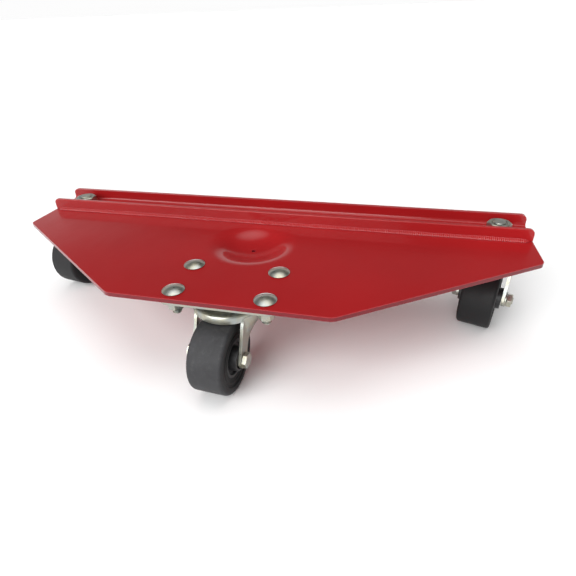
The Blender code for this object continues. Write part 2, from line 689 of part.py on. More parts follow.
def add_axle(corner, parent, nut_side):
    """The axle bolt with its nut and washer outside one leg, and the sleeve between the legs."""
    head_face = -LEG_OUTER - TOUCH_GAP
    washer_low = LEG_OUTER + TOUCH_GAP
    washer_high = washer_low + AXLE_WASHER_THICKNESS
    nut_low = washer_high + TOUCH_GAP
    nut_high = nut_low + AXLE_NUT_HEIGHT
    bore = AXLE_RADIUS + HOLE_CLEARANCE
    mirror = Matrix.Scale(nut_side, 4, (1, 0, 0))

    def place(bm):
        along_axle(bm)
        bmesh.ops.transform(bm, matrix=mirror, verts=bm.verts)
        return bm

    head_outline = hexagon(AXLE_HEAD_FLATS)
    head = place(slab(head_outline, [], head_face - AXLE_HEAD_HEIGHT, head_face))
    bolt = add_object(f"{corner}_axle_bolt", head, ZINC, parent)
    lap = AXLE_HEAD_HEIGHT / 2
    shank_outline = circle(AXLE_RADIUS, FACETS_PIN)
    shank = place(slab(shank_outline, [], head_face - lap, nut_high + AXLE_STAND_OUT))
    combine(bolt, add_object(f"{corner}_axle_shank", shank, ZINC, parent), "UNION")
    washer = place(tube(bore, AXLE_WASHER_RADIUS, washer_low, washer_high, FACETS_PIN))
    add_object(f"{corner}_axle_washer", washer, ZINC, parent)
    nut_hole = circle(bore, FACETS_PIN)
    nut = place(slab(head_outline, [nut_hole], nut_low, nut_high))
    add_object(f"{corner}_axle_nut", nut, ZINC, parent)
    half = LEG_INNER - TOUCH_GAP
    sleeve = place(tube(bore, AXLE_SLEEVE_RADIUS, -half, half, FACETS_PIN))
    add_object(f"{corner}_axle_sleeve", sleeve, STEEL, parent)


def tyre_profile():
    """Section of the tyre: a flat tread, rounded shoulders and flat sides, about its bore."""
    shoulder = (WHEEL_WIDTH - TREAD_WIDTH) / 2
    bore_half = WHEEL_WIDTH / 2 - TYRE_SIDE_INSET
    right = [(TYRE_BORE_RADIUS, bore_half)]
    for step in range(ARC_STEPS + 1):
        angle = math.pi / 2 * step / ARC_STEPS
        across = TREAD_WIDTH / 2 + shoulder * math.cos(angle)
        right.append((WHEEL_RADIUS - shoulder + shoulder * math.sin(angle), across))
    left = [(radius, -across) for radius, across in reversed(right)]
    return right + left


def core_profile():
    """Section of the wheel's core: the rim under the tyre, a thinner web and a long hub."""
    bore = BEARING_RADIUS + TOUCH_GAP
    rim_outer = TYRE_BORE_RADIUS - TOUCH_GAP
    rim_inner = rim_outer - CORE_RIM_THICKNESS
    rim_half = WHEEL_WIDTH / 2 - TYRE_SIDE_INSET
    right = [
        (bore, HUB_LENGTH / 2),
        (CORE_BOSS_RADIUS, HUB_LENGTH / 2),
        (CORE_BOSS_RADIUS, CORE_WEB_WIDTH / 2),
        (rim_inner, CORE_WEB_WIDTH / 2),
        (rim_inner, rim_half),
        (rim_outer, rim_half),
    ]
    left = [(radius, -across) for radius, across in reversed(right)]
    return right + left


def add_wheel(corner, swivel):
    """The wheel's pieces are turned about the Z axis of an empty that lies along the axle."""
    axle = add_empty(
        f"{corner}_wheel_axis",
        (0.0, -CASTER_TRAIL, AXLE_HEIGHT),
        (0.0, math.pi / 2, 0.0),
        swivel,
    )
    add_object(f"{corner}_tyre", turned(tyre_profile(), FACETS_WHEEL), RUBBER, axle)
    add_object(f"{corner}_wheel_core", turned(core_profile(), FACETS_BEARING), BLACK_PLASTIC, axle)
    bearing_bore = AXLE_SLEEVE_RADIUS + RUN_CLEARANCE
    half = BEARING_LENGTH / 2
    bearing = tube(bearing_bore, BEARING_RADIUS, -half, half, FACETS_PIN)
    add_object(f"{corner}_roller_bearing", bearing, STEEL, axle)


def add_caster(corner, place, heading, nut_side):
    """The swivelling half of a caster, with its wheel, on an empty at the kingpin's axis."""
    x, y = place
    fixed = add_empty(f"{corner}_caster_place", (x, y, 0.0))
    lower_bore = KINGPIN_RADIUS + HOLE_CLEARANCE
    lower_bottom = LOWER_RACE_TOP - LOWER_RACE_THICKNESS
    lower = tube(lower_bore, LOWER_RACE_RADIUS, lower_bottom, LOWER_RACE_TOP, FACETS_BEARING)
    add_object(f"{corner}_lower_race", lower, STEEL, fixed)
    swivel = add_empty(f"{corner}_swivel_axis", (x, y, 0.0), (0.0, 0.0, heading))
    upper_height = (UPPER_RACE_BOTTOM + CROWN_TOP) / 2
    lower_height = (CROWN_UNDERSIDE + LOWER_RACE_TOP) / 2
    upper_row = ball_row(UPPER_BALL_PITCH_RADIUS, upper_height)
    lower_row = ball_row(LOWER_BALL_PITCH_RADIUS, lower_height)
    add_object(f"{corner}_upper_balls", upper_row, STEEL, swivel)
    add_object(f"{corner}_lower_balls", lower_row, STEEL, swivel)
    add_fork(corner, swivel)
    add_axle(corner, swivel, nut_side)
    add_wheel(corner, swivel)
    return fixed


def build():
    clear_scene()
    add_deck_plate()
    add_rail()
    add_rail_weld()
    add_front_fasteners()
    front = add_caster("front", (0.0, FRONT_CASTER_Y), FRONT_HEADING, -1)
    add_mount_plate(front)
    add_kingpin(front)
    add_stem("left", add_caster("left", (-STEM_X, TRACK_MIDDLE_Y), LEFT_HEADING, 1))
    add_stem("right", add_caster("right", (STEM_X, TRACK_MIDDLE_Y), RIGHT_HEADING, 1))


build()
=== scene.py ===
"""Detailed pieces, finishes and studio of a steel wheel dolly on three swivel casters.

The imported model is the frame: it gives every place and height. Each operator makes one
piece, or one group of like pieces, around it. All sizes are in metres.
"""

import json
import math

import bmesh
import bpy
from bpy.props import (
    FloatProperty,
    FloatVectorProperty,
    IntProperty,
    PointerProperty,
)
from mathutils import Matrix, Vector


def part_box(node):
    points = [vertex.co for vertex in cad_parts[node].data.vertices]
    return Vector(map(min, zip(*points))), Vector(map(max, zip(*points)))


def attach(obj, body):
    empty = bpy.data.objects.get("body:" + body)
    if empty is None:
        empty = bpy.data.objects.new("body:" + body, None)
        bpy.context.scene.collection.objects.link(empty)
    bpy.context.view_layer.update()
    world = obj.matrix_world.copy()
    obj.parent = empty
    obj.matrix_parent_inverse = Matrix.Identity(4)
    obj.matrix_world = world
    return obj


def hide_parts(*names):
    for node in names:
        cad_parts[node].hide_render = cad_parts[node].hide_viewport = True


bl_info = {
    "name": "Wheel dolly",
    "version": (1, 0, 0),
    "blender": (4, 5, 0),
    "location": "3D View > Sidebar > Dolly",
    "description": "Makes the pieces, finishes and studio of a steel wheel dolly",
    "category": "Object",
}

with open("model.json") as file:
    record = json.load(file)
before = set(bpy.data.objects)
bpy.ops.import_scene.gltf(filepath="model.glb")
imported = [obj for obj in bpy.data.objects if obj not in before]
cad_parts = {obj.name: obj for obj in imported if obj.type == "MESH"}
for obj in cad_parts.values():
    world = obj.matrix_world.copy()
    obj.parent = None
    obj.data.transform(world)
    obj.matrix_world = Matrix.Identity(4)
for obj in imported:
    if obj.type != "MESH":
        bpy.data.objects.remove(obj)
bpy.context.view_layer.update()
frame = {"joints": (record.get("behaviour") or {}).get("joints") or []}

CORNERS = ("front", "left", "right")
SIDES = ("left", "right")
BOLT_PLACES = ("front_left", "front_right", "rear_left", "rear_right")
TOUCH = 0.0003
FULL_TURN = math.tau
SAME_POINT = 1e-6
NO_LENGTH = 1e-7
NO_AREA = 1e-14
# Layer of painted light and shade on the tyres: lighter on the treads, darker on the sides.
LIGHT_LAYER = "tread_lightness"


# ---------------------------------------------------------------- places from the frame


def joint(name):
    return next(item for item in frame["joints"] if item["name"] == name)


def heights(node):
    low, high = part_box(node)
    return low[2], high[2]


def middle(node):
    low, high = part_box(node)
    return (Vector(low) + Vector(high)) / 2


def caster_facts(corner):
    """(kingpin x and y, heading, trail, axle height, side of the axle nut) of one caster."""
    kingpin = Vector(joint(f"{corner}_swivel_turn")["pos_m"])
    wheel = Vector(joint(f"{corner}_wheel_spin")["pos_m"])
    away = wheel - kingpin
    heading = math.atan2(away.x, -away.y)
    across = Vector(joint(f"{corner}_wheel_spin")["axis"])
    nut_side = math.copysign(1.0, (middle(f"{corner}_axle_nut") - wheel).dot(across))
    return kingpin, heading, away.xy.length, wheel.z, nut_side


def over(place):
    """Where a shape drawn about its own Z axis stands over this place."""
    return Matrix.Translation((place.x, place.y, 0))


def turned_by(degrees):
    return Matrix.Rotation(math.radians(degrees), 4, "Z")


def upright(corner):
    """Where a shape drawn about its own Z axis stands on the kingpin, turned to the heading."""
    kingpin, heading, _, _, _ = caster_facts(corner)
    return over(kingpin) @ Matrix.Rotation(heading, 4, "Z")


def on_axle(corner, mirrored=False):
    """Where a shape drawn about its own Z axis lies on the axle, with +Z to the nut's side."""
    _, _, trail, height, nut_side = caster_facts(corner)
    turn = math.pi / 2
    if mirrored and nut_side < 0:
        turn = -math.pi / 2
    return upright(corner) @ Matrix.Translation((0, -trail, height)) @ Matrix.Rotation(turn, 4, "Y")


DECK_TOP = heights("left_stem_washer")[0] - TOUCH
DECK_UNDERSIDE = heights("left_head_plate")[1] + TOUCH
RAIL_LOW, RAIL_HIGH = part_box("track_rail")
HEAD_PLATE_TOP = heights("left_head_plate")[1]


# ---------------------------------------------------------------- settings


def length(name, description, default):
    return FloatProperty(
        name=name, description=description, default=default, min=0.0, unit="LENGTH", precision=4
    )


def count(name, description, default):
    return IntProperty(name=name, description=description, default=default, min=1)


def strength(name, description, default):
    return FloatProperty(name=name, description=description, default=default, min=0.0, precision=3)


def colour(name, description, default):
    return FloatVectorProperty(
        name=name, description=description, default=default, size=3, min=0.0, max=1.0, subtype="COLOR"
    )


class DollyDeckSettings(bpy.types.PropertyGroup):
    half_width: length("Half width", "From the middle to a side corner", 0.304)
    front_half_width: length("Front half width", "From the middle to a front corner", 0.1106)
    front_depth: length("Front depth", "From the rail to the front edge", 0.178)
    side_depth: length("Side depth", "From the rail to a side corner", 0.0473)
    corner_radius: length("Corner radius", "Rounding of the outline's corners", 0.004)
    edge_radius: length("Edge radius", "Rounding of the plate's and the rail's edges", 0.0009)
    support: length("Support band", "Width of the flat band of faces beside each bend", 0.001)
    bend_radius: length("Bend radius", "Inner radius of the lip's bend", 0.004)
    end_radius: length("End radius", "Rounding of the lip's and the rail's upper corners", 0.006)
    dish_radius: length("Dish radius", "Radius of the dish at its rim", 0.054)
    dish_shoulder: length("Dish shoulder", "Width of the dish's convex rim band", 0.0213)
    dish_flat: length("Dish flat", "Radius of the flat in the middle of the dish", 0.005)
    dish_hole: length("Dish hole", "Radius of the small hole in the dish", 0.0025)
    dish_slope: FloatProperty(
        name="Dish slope",
        description="Steepest slope of the dish",
        default=math.radians(24),
        subtype="ANGLE",
    )
    stem_hole: length("Stem hole", "Radius of the holes for the stems", 0.0084)
    bolt_hole: length("Bolt hole", "From the middle to a corner of a square bolt hole", 0.0068)
    weld_leg: length("Weld leg", "Leg of the fillet weld at the rail's foot", 0.0035)
    weld_ripple: length("Weld ripple", "Spacing of the ripples in the weld", 0.0021)


class DollyHardwareSettings(bpy.types.PropertyGroup):
    bolt_radius: length("Bolt radius", "Radius of the 3/8 in bolts", 0.0047)
    bolt_pitch: length("Bolt pitch", "Thread pitch of the 3/8 in bolts", 0.00159)
    bolt_bore: length("Bolt bore", "Radius of the holes that the bolts pass through", 0.0051)
    bolt_dome: length("Bolt head", "Radius of a carriage bolt's domed head", 0.011)
    bolt_neck: length("Bolt neck", "Width of a carriage bolt's square neck", 0.0095)
    bolt_thread: length("Bolt thread", "Length of a carriage bolt's threaded end", 0.0125)
    bolt_washer: length("Bolt washer", "Outer radius of a bolt's washer", 0.0095)
    bolt_flats: length("Bolt flats", "Width of the bolts' nuts and heads", 0.0143)
    stem_radius: length("Stem radius", "Radius of the 5/8 in stems", 0.0079)
    stem_pitch: length("Stem pitch", "Thread pitch of the 5/8 in stems", 0.00231)
    stem_bore: length("Stem bore", "Radius of the holes that the stems pass through", 0.0083)
    stem_washer: length("Stem washer", "Outer radius of a stem's washer", 0.0125)
    stem_flats: length("Stem flats", "Width of a stem's nut", 0.024)
    pin_radius: length("Kingpin radius", "Radius of a kingpin", 0.006)
    pin_bore: length("Kingpin bore", "Radius of the bores that a kingpin clamps", 0.0064)
    pin_head: length("Kingpin head", "Radius of a kingpin's flat head", 0.0125)
    pin_head_height: length("Kingpin head height", "Thickness of a kingpin's head", 0.0024)
    peen_radius: length("Peen radius", "Radius of a kingpin's peened end", 0.009)
    peen_height: length("Peen height", "Thickness of a kingpin's peened end", 0.0025)
    head_sheet: length("Head plate sheet", "Thickness of the head and mount plates", 0.0035)
    plate_corner: length("Plate corner", "Rounding of the mount plate's corners", 0.008)
    upper_race: length("Upper race", "Outer radius of the upper race", 0.0305)
    lower_race: length("Lower race", "Outer radius of the lower race", 0.0225)
    upper_balls: length("Upper balls", "Pitch radius of the upper row of balls", 0.025)
    lower_balls: length("Lower balls", "Pitch radius of the lower row of balls", 0.019)
    ball_count: count("Balls", "Balls in each row of a swivel bearing", 22)
    ball_radius: length("Ball radius", "Radius of a bearing ball", 0.0022)
    cage_width: length("Cage width", "Width of a row's cage ring", 0.0018)
    cage_height: length("Cage height", "Height of a row's cage ring", 0.0012)


class DollyCasterSettings(bpy.types.PropertyGroup):
    sheet: length("Fork sheet", "Thickness of the fork's sheet", 0.003)
    crown_radius: length("Crown radius", "Outer radius of the fork's crown", 0.0365)
    crown_skirt: length("Crown skirt", "Height of the crown down to its skirt's edge", 0.0088)
    crown_bore: length("Crown bore", "Radius of the crown's hole for the kingpin", 0.0065)
    crown_shoulder: length("Crown shoulder", "Outer radius of the crown's rounded shoulder", 0.004)
    leg_proud: length("Leg stands proud", "How far a leg stands out from the crown", 0.0005)
    leg_rear: length("Leg rear", "How far a leg reaches behind the kingpin at the crown", 0.025)
    leg_boss: length("Leg end radius", "Radius of the leg's lower end about the axle", 0.0085)
    leg_inner: length("Leg inner face", "From the wheel's middle to a leg's inner face", 0.02325)
    leg_sweep: FloatProperty(
        name="Leg end sweep",
        description="How far round the axle the leg's rounded end reaches on each side",
        default=math.radians(88),
        subtype="ANGLE",
    )
    leg_flat: length("Leg flat", "Height above the axle where a leg is flat", 0.014)
    tyre_width: length("Tyre width", "Width of the tyre", 0.0365)
    tread_width: length("Tread width", "Width of the tread between its shoulders", 0.021)
    tyre_bore: length("Tyre bore", "Radius at which the tyre meets the core", 0.02)
    tyre_inset: length("Tyre side inset", "How far the bead lies inside the tyre's sides", 0.0015)
    core_web: length("Core web", "Width of the core between its hub and its rim", 0.026)
    core_bore: length("Core bore", "Radius of the core's bore around the bush", 0.0098)
    core_boss: length("Core boss", "Outer radius of the core's hub", 0.0125)
    bush_radius: length("Bush radius", "Outer radius of the roller bearing", 0.0095)
    bush_bore: length("Bush bore", "Inner radius of the roller bearing", 0.0068)
    bush_length: length("Bush length", "Length of the roller bearing", 0.038)
    sleeve_radius: length("Sleeve radius", "Outer radius of the axle's sleeve", 0.0063)
    # Painted light and shade: the share of light painted on each tread. The left and right treads, in the
    # deck's shade, are painted darker.
    tread_lightness: FloatVectorProperty(
        name="Tread wear",
        description="How worn and grey the front, left and right treads are",
        default=(1.0, 0.4, 0.1),
        size=3,
        min=0.0,
        max=1.0,
    )
    axle_head: length("Axle head", "Height of the axle bolt's head", 0.0045)
    axle_washer: length("Axle washer", "Thickness of the axle's washer", 0.0015)
    axle_washer_radius: length("Axle washer radius", "Outer radius of the axle's washer", 0.0085)
    axle_nut: length("Axle nut", "Height of the axle's nut", 0.0055)
    axle_end: length("Axle end", "How far the axle bolt stands out of its nut", 0.001)


class DollyFinishSettings(bpy.types.PropertyGroup):
    paint: colour("Paint", "Red powder coat on the deck and rail", (0.329, 0.0096, 0.0112))
    zinc: colour("Zinc", "Zinc plating on casters and fasteners", (0.40, 0.405, 0.375))
    steel: colour("Steel", "Oiled steel of pins, races, balls and bushes", (0.36, 0.36, 0.35))
    rubber: colour("Rubber", "Dark rubber of the tyres", (0.034, 0.034, 0.036))
    plastic: colour("Plastic", "Black plastic of the wheel cores", (0.013, 0.013, 0.014))
    floor: colour("Floor", "Pale studio floor", (0.97, 0.97, 0.97))


class DollyStudioSettings(bpy.types.PropertyGroup):
    lens: FloatProperty(
        name="Lens",
        description="Focal length of the camera",
        default=27.5,
        unit="CAMERA",
    )
    camera_place: FloatVectorProperty(
        name="Camera place",
        description="Where the camera stands",
        default=(0.1527, -0.4028, 0.3294),
        size=3,
        subtype="TRANSLATION",
        unit="LENGTH",
        precision=4,
    )
    camera_turn: FloatVectorProperty(
        name="Camera turn",
        description="Turn to the left, tilt down and roll of the camera",
        default=(math.radians(15.0), math.radians(32.7), math.radians(-2.38)),
        size=3,
        subtype="EULER",
        unit="ROTATION",
        precision=4,
    )
    key_direction: FloatVectorProperty(
        name="Key direction",
        description="Way that the key light shines",
        default=(0.40, 0.85, -0.64),
        size=3,
        subtype="DIRECTION",
    )
    key_spread: FloatProperty(
        name="Key spread",
        description="How broad the key light is",
        default=math.radians(50.0),
        subtype="ANGLE",
    )
    key_strength: strength("Key light", "Strength of the broad light from the front left", 2.9)
    ceiling: strength("Ceiling", "Brightness of the room overhead", 2.6)
    walls: strength("Walls", "Brightness of the room's walls", 0.05)
    horizon: strength("Horizon", "Brightness of the room where it meets the floor", 0.98)


# ---------------------------------------------------------------- materials


def link(tree, kind, inputs=None, **settings):
    """Add a shader node. An input is set to a value, or joined to another node's socket."""
    node = tree.nodes.new(kind)
    for key, value in settings.items():
        setattr(node, key, value)
    for key, value in (inputs or {}).items():
        if isinstance(value, bpy.types.NodeSocket):
            tree.links.new(value, node.inputs[key])
        else:
            node.inputs[key].default_value = value
    return node


def mottle(tree, scale, detail=3.0, roughness=0.55, stretch=(1.0, 1.0, 1.0)):
    """A noise value over the object, whose features are about 1 / scale metres wide."""
    place = link(tree, "ShaderNodeTexCoord").outputs["Object"]
    mapping = link(tree, "ShaderNodeMapping", {"Vector": place, "Scale": stretch})
    inputs = {
        "Vector": mapping.outputs["Vector"],
        "Scale": scale,
        "Detail": detail,
        "Roughness": roughness,
    }
    return link(tree, "ShaderNodeTexNoise", inputs).outputs["Fac"]


def spread(tree, value, low, high, start=0.3, end=0.7):
    """Spread a noise value's middle over a range."""
    inputs = {"Value": value, "From Min": start, "From Max": end, "To Min": low, "To Max": high}
    return link(tree, "ShaderNodeMapRange", inputs).outputs["Result"]


def blend(tree, share, first, second):
    inputs = {"Factor": share, "A": (*first, 1.0) if isinstance(first, tuple) else first}
    inputs["B"] = (*second, 1.0) if isinstance(second, tuple) else second
    node = tree.nodes.new("ShaderNodeMix")
    node.data_type = "RGBA"
    sockets = {"Factor": node.inputs[0], "A": node.inputs[6], "B": node.inputs[7]}
    for key, value in inputs.items():
        if isinstance(value, bpy.types.NodeSocket):
            tree.links.new(value, sockets[key])
        else:
            sockets[key].default_value = value
    return node.outputs[2]


def bump(tree, height, distance, strength=1.0, under=None):
    inputs = {"Height": height, "Distance": distance, "Strength": strength}
    if under is not None:
        inputs["Normal"] = under
    return link(tree, "ShaderNodeBump", inputs).outputs["Normal"]


def edge_mask(tree, radius):
    """Near 1 along convex and concave edges and 0 on flats."""
    soft = link(tree, "ShaderNodeBevel", {"Radius": radius}, samples=4).outputs["Normal"]
    plain = link(tree, "ShaderNodeNewGeometry").outputs["Normal"]
    same = link(tree, "ShaderNodeVectorMath", {0: soft, 1: plain}, operation="DOT_PRODUCT").outputs["Value"]
    return spread(tree, same, 1.0, 0.0, 0.7, 0.99)


def shade(colour_value, factor):
    return tuple(min(1.0, channel * factor) for channel in colour_value)


def material(name, make):
    """The shader of this finish, made the first time that it is asked for."""
    own_name = f"{name}_shader"
    found = bpy.data.materials.get(own_name)
    if found:
        return found
    found = bpy.data.materials.new(own_name)
    found.use_nodes = True
    tree = found.node_tree
    make(tree, tree.nodes["Principled BSDF"])
    return found


def connect(tree, shader, **sockets):
    for name, value in sockets.items():
        socket = shader.inputs[name.replace("_", " ")]
        if isinstance(value, bpy.types.NodeSocket):
            tree.links.new(value, socket)
        else:
            socket.default_value = value


def cut_edge_shade(tree):
    """1 on the deck plate's upright cut edges, which are painted darker as shade, and 0 elsewhere."""
    coords = link(tree, "ShaderNodeTexCoord")
    height = link(tree, "ShaderNodeSeparateXYZ", {"Vector": coords.outputs["Object"]}).outputs["Z"]
    lean = link(tree, "ShaderNodeSeparateXYZ", {"Vector": coords.outputs["Normal"]}).outputs["Z"]
    level = link(tree, "ShaderNodeMath", {0: lean}, operation="ABSOLUTE").outputs["Value"]
    upright_face = spread(tree, level, 1.0, 0.0, 0.15, 0.6)
    rounding = bpy.context.scene.dolly_deck.edge_radius
    below = spread(tree, height, 1.0, 0.0, DECK_TOP - rounding, DECK_TOP - rounding / 9)
    return link(tree, "ShaderNodeMath", {0: upright_face, 1: below}, operation="MULTIPLY").outputs["Value"]


def powder_coat(tree, shader):
    paint = tuple(bpy.context.scene.dolly_finish.paint)
    broad = spread(tree, mottle(tree, 7.0), 0.0, 1.0)
    base = blend(tree, broad, shade(paint, 0.93), shade(paint, 1.07))
    edges = edge_mask(tree, bpy.context.scene.dolly_deck.edge_radius)
    # Painted shade: the plate's upright cut edges are darkened to half the paint, with a purple cast.
    base = blend(tree, cut_edge_shade(tree), base, (paint[0] * 0.5, paint[1] * 0.5, paint[2] * 0.9))
    # Painted highlight: pale pink along the edges and creases, up to nearly half strength.
    base = blend(tree, spread(tree, edges, 0.0, 0.45, 0.0, 1.0), base, (0.7, 0.12, 0.15))
    peel = bump(tree, mottle(tree, 520.0, 2.0), 0.00006, 0.6)
    waves = bump(tree, mottle(tree, 45.0, 1.0), 0.00025, 0.35, peel)
    smear = mottle(tree, 26.0, 5.0, 0.65, (1.0, 0.35, 1.0))
    connect(
        tree,
        shader,
        Base_Color=base,
        Roughness=spread(tree, smear, 0.30, 0.42),
        Specular_IOR_Level=0.12,
        Normal=waves,
        Coat_Weight=0.55,
        Coat_Roughness=0.07,
    )


def zinc_plate(tree, shader):
    zinc = tuple(bpy.context.scene.dolly_finish.zinc)
    tint = spread(tree, mottle(tree, 90.0, 4.0, 0.6), 0.0, 1.0)
    cool = (zinc[0] * 0.92, zinc[1] * 1.0, zinc[2] * 1.08)
    warm = (zinc[0] * 1.12, zinc[1] * 1.05, zinc[2] * 0.86)
    base = blend(tree, tint, cool, warm)
    # Painted highlight: the zinc is lightened along its edges.
    edges = edge_mask(tree, 0.0007)
    base = blend(tree, spread(tree, edges, 0.0, 0.6, 0.0, 1.0), base, (0.66, 0.66, 0.64))
    grain = bump(tree, mottle(tree, 1400.0, 3.0, 0.6), 0.00003, 0.5)
    cloud = mottle(tree, 240.0, 5.0, 0.7)
    connect(
        tree,
        shader,
        Base_Color=base,
        Metallic=0.92,
        Roughness=spread(tree, cloud, 0.24, 0.44),
        Normal=bump(tree, mottle(tree, 160.0, 2.0), 0.00008, 0.35, grain),
    )


def bare_steel(tree, shader):
    steel = tuple(bpy.context.scene.dolly_finish.steel)
    oil = spread(tree, mottle(tree, 130.0, 5.0, 0.65), 0.0, 1.0)
    base = blend(tree, oil, shade(steel, 0.55), shade(steel, 1.15))
    turned_marks = mottle(tree, 900.0, 2.0, 0.5, (0.08, 0.08, 1.0))
    connect(
        tree,
        shader,
        Base_Color=base,
        Metallic=1.0,
        Roughness=spread(tree, oil, 0.22, 0.48, 0.0, 1.0),
        Normal=bump(tree, turned_marks, 0.00004, 0.4),
    )


def tyre_rubber(tree, shader):
    rubber = tuple(bpy.context.scene.dolly_finish.rubber)
    dust = spread(tree, mottle(tree, 55.0, 6.0, 0.68), 0.0, 1.0)
    base = blend(tree, dust, shade(rubber, 0.75), shade(rubber, 1.45))
    scuff = spread(tree, mottle(tree, 210.0, 5.0, 0.75, (1.0, 1.0, 0.4)), 0.0, 0.4, 0.55, 0.8)
    base = blend(tree, scuff, base, (0.11, 0.11, 0.108))
    # Painted shade: the sidewalls and the shaded rear treads are darkened to a fifth of the rubber's
    # colour, and the lit front tread keeps it.
    lightness = link(tree, "ShaderNodeAttribute", attribute_name=LIGHT_LAYER).outputs["Fac"]
    base = blend(tree, lightness, shade(rubber, 0.2), base)
    grain = bump(tree, mottle(tree, 1700.0, 3.0, 0.6), 0.00006, 0.55)
    connect(
        tree,
        shader,
        Base_Color=base,
        Roughness=spread(tree, dust, 0.50, 0.70, 0.0, 1.0),
        Specular_IOR_Level=0.25,
        Normal=bump(tree, mottle(tree, 190.0, 3.0), 0.00012, 0.3, grain),
    )


def core_plastic(tree, shader):
    plastic = tuple(bpy.context.scene.dolly_finish.plastic)
    cloud = spread(tree, mottle(tree, 80.0, 5.0, 0.65), 0.0, 1.0)
    base = blend(tree, cloud, shade(plastic, 0.8), shade(plastic, 1.9))
    connect(
        tree,
        shader,
        Base_Color=base,
        Roughness=spread(tree, cloud, 0.38, 0.55, 0.0, 1.0),
        Normal=bump(tree, mottle(tree, 1100.0, 3.0), 0.00005, 0.5),
    )


def studio_floor(tree, shader):
    floor = tuple(bpy.context.scene.dolly_finish.floor)
    cloud = spread(tree, mottle(tree, 2.0, 3.0), 0.0, 1.0)
    connect(
        tree,
        shader,
        Base_Color=blend(tree, cloud, shade(floor, 0.99), shade(floor, 1.0)),
        Roughness=0.6,
        Specular_IOR_Level=0.2,
    )


FINISHES = {
    "red_powder_coat": powder_coat,
    "zinc_plate": zinc_plate,
    "bearing_steel": bare_steel,
    "rubber_tyre": tyre_rubber,
    "black_core": core_plastic,
}


# ---------------------------------------------------------------- shapes


def moved(bm, matrix):
    bmesh.ops.transform(bm, matrix=matrix, verts=bm.verts)
    return bm


def clean(bm):
    bmesh.ops.remove_doubles(bm, verts=bm.verts, dist=SAME_POINT)
    bmesh.ops.dissolve_degenerate(bm, edges=bm.edges, dist=NO_LENGTH)
    bmesh.ops.recalc_face_normals(bm, faces=bm.faces)
    return bm


def loose_object(name, bm):
    mesh = bpy.data.meshes.new(name)
    bm.to_mesh(mesh)
    bm.free()
    obj = bpy.data.objects.new(name, mesh)
    bpy.context.scene.collection.objects.link(obj)
    return obj


def joined(name, shapes):
    """One closed mesh from several closed shapes that overlap."""
    objects = [loose_object(f"{name}_{index}", shape) for index, shape in enumerate(shapes)]
    first = objects[0]
    for other in objects[1:]:
        modifier = first.modifiers.new("join", "BOOLEAN")
        modifier.operation = "UNION"
        modifier.object = other
    evaluated = first.evaluated_get(bpy.context.evaluated_depsgraph_get())
    bm = bmesh.new()
    bm.from_mesh(evaluated.to_mesh())
    evaluated.to_mesh_clear()
    for obj in objects:
        data = obj.data
        bpy.data.objects.remove(obj)
        bpy.data.meshes.remove(data)
    bmesh.ops.remove_doubles(bm, verts=bm.verts, dist=SAME_POINT)
    return bm


def piece(node, bm, finish, body, sharp=35.0):
    """Show this mesh in place of the node of the same name, in a finish, on a body."""
    obj = loose_object(f"{node}_detailed", bm)
    obj.data.shade_smooth()
    obj.data.set_sharp_from_angle(angle=math.radians(sharp))
    obj.data.materials.append(material(finish, FINISHES[finish]))
    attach(obj, body)
    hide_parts(node)
    return obj


def softened(obj, width, segments=2, angle=40.0):
    modifier = obj.modifiers.new("soft edges", "BEVEL")
    modifier.width = width
    modifier.segments = segments
    modifier.limit_method = "ANGLE"
    modifier.angle_limit = math.radians(angle)
    modifier.harden_normals = True
    return obj


def filleted(points, radius, steps=3):
    """A closed profile whose corners are rounded. A third number in a point is its own radius."""
    profile = []
    total = len(points)
    for index, point in enumerate(points):
        here = Vector(point[:2])
        before = Vector(points[index - 1][:2])
        after = Vector(points[(index + 1) % total][:2])
        own = point[2] if len(point) > 2 else radius
        into = (here - before).normalized()
        out = (after - here).normalized()
        turn = into.angle_signed(out, 0.0)
        if own <= 0.0 or abs(turn) < 0.05:
            profile.append(tuple(here))
            continue
        back = own * math.tan(abs(turn) / 2)
        back = min(back, (here - before).length * 0.49, (after - here).length * 0.49)
        start = here - into * back
        end = here + out * back
        for step in range(steps + 1):
            share = step / steps
            bowed = start.lerp(here, share).lerp(here.lerp(end, share), share)
            profile.append(tuple(bowed))
    return profile


def turned(profile, segments):
    """A closed profile of (radius, height) points spun round the Z axis."""
    bm = bmesh.new()
    verts = [bm.verts.new((max(radius, 0.0), 0, height)) for radius, height in profile]
    edges = [bm.edges.new((verts[index - 1], verts[index])) for index in range(len(verts))]
    bmesh.ops.spin(
        bm,
        geom=verts + edges,
        cent=(0, 0, 0),
        axis=(0, 0, 1),
        angle=FULL_TURN,
        steps=segments,
        use_merge=True,
    )
    clean(bm)
    slivers = [face for face in bm.faces if face.calc_area() < NO_AREA]
    bmesh.ops.delete(bm, geom=slivers, context="FACES_ONLY")
    wires = [edge for edge in bm.edges if not edge.link_faces]
    bmesh.ops.delete(bm, geom=wires, context="EDGES")
    loose = [vert for vert in bm.verts if not vert.link_faces]
    bmesh.ops.delete(bm, geom=loose, context="VERTS")
    bmesh.ops.recalc_face_normals(bm, faces=bm.faces)
    return bm


def ring(inner, outer, low, high, segments=48, radius=0.0004):
    return turned(filleted([(inner, low), (outer, low), (outer, high), (inner, high)], radius), segments)


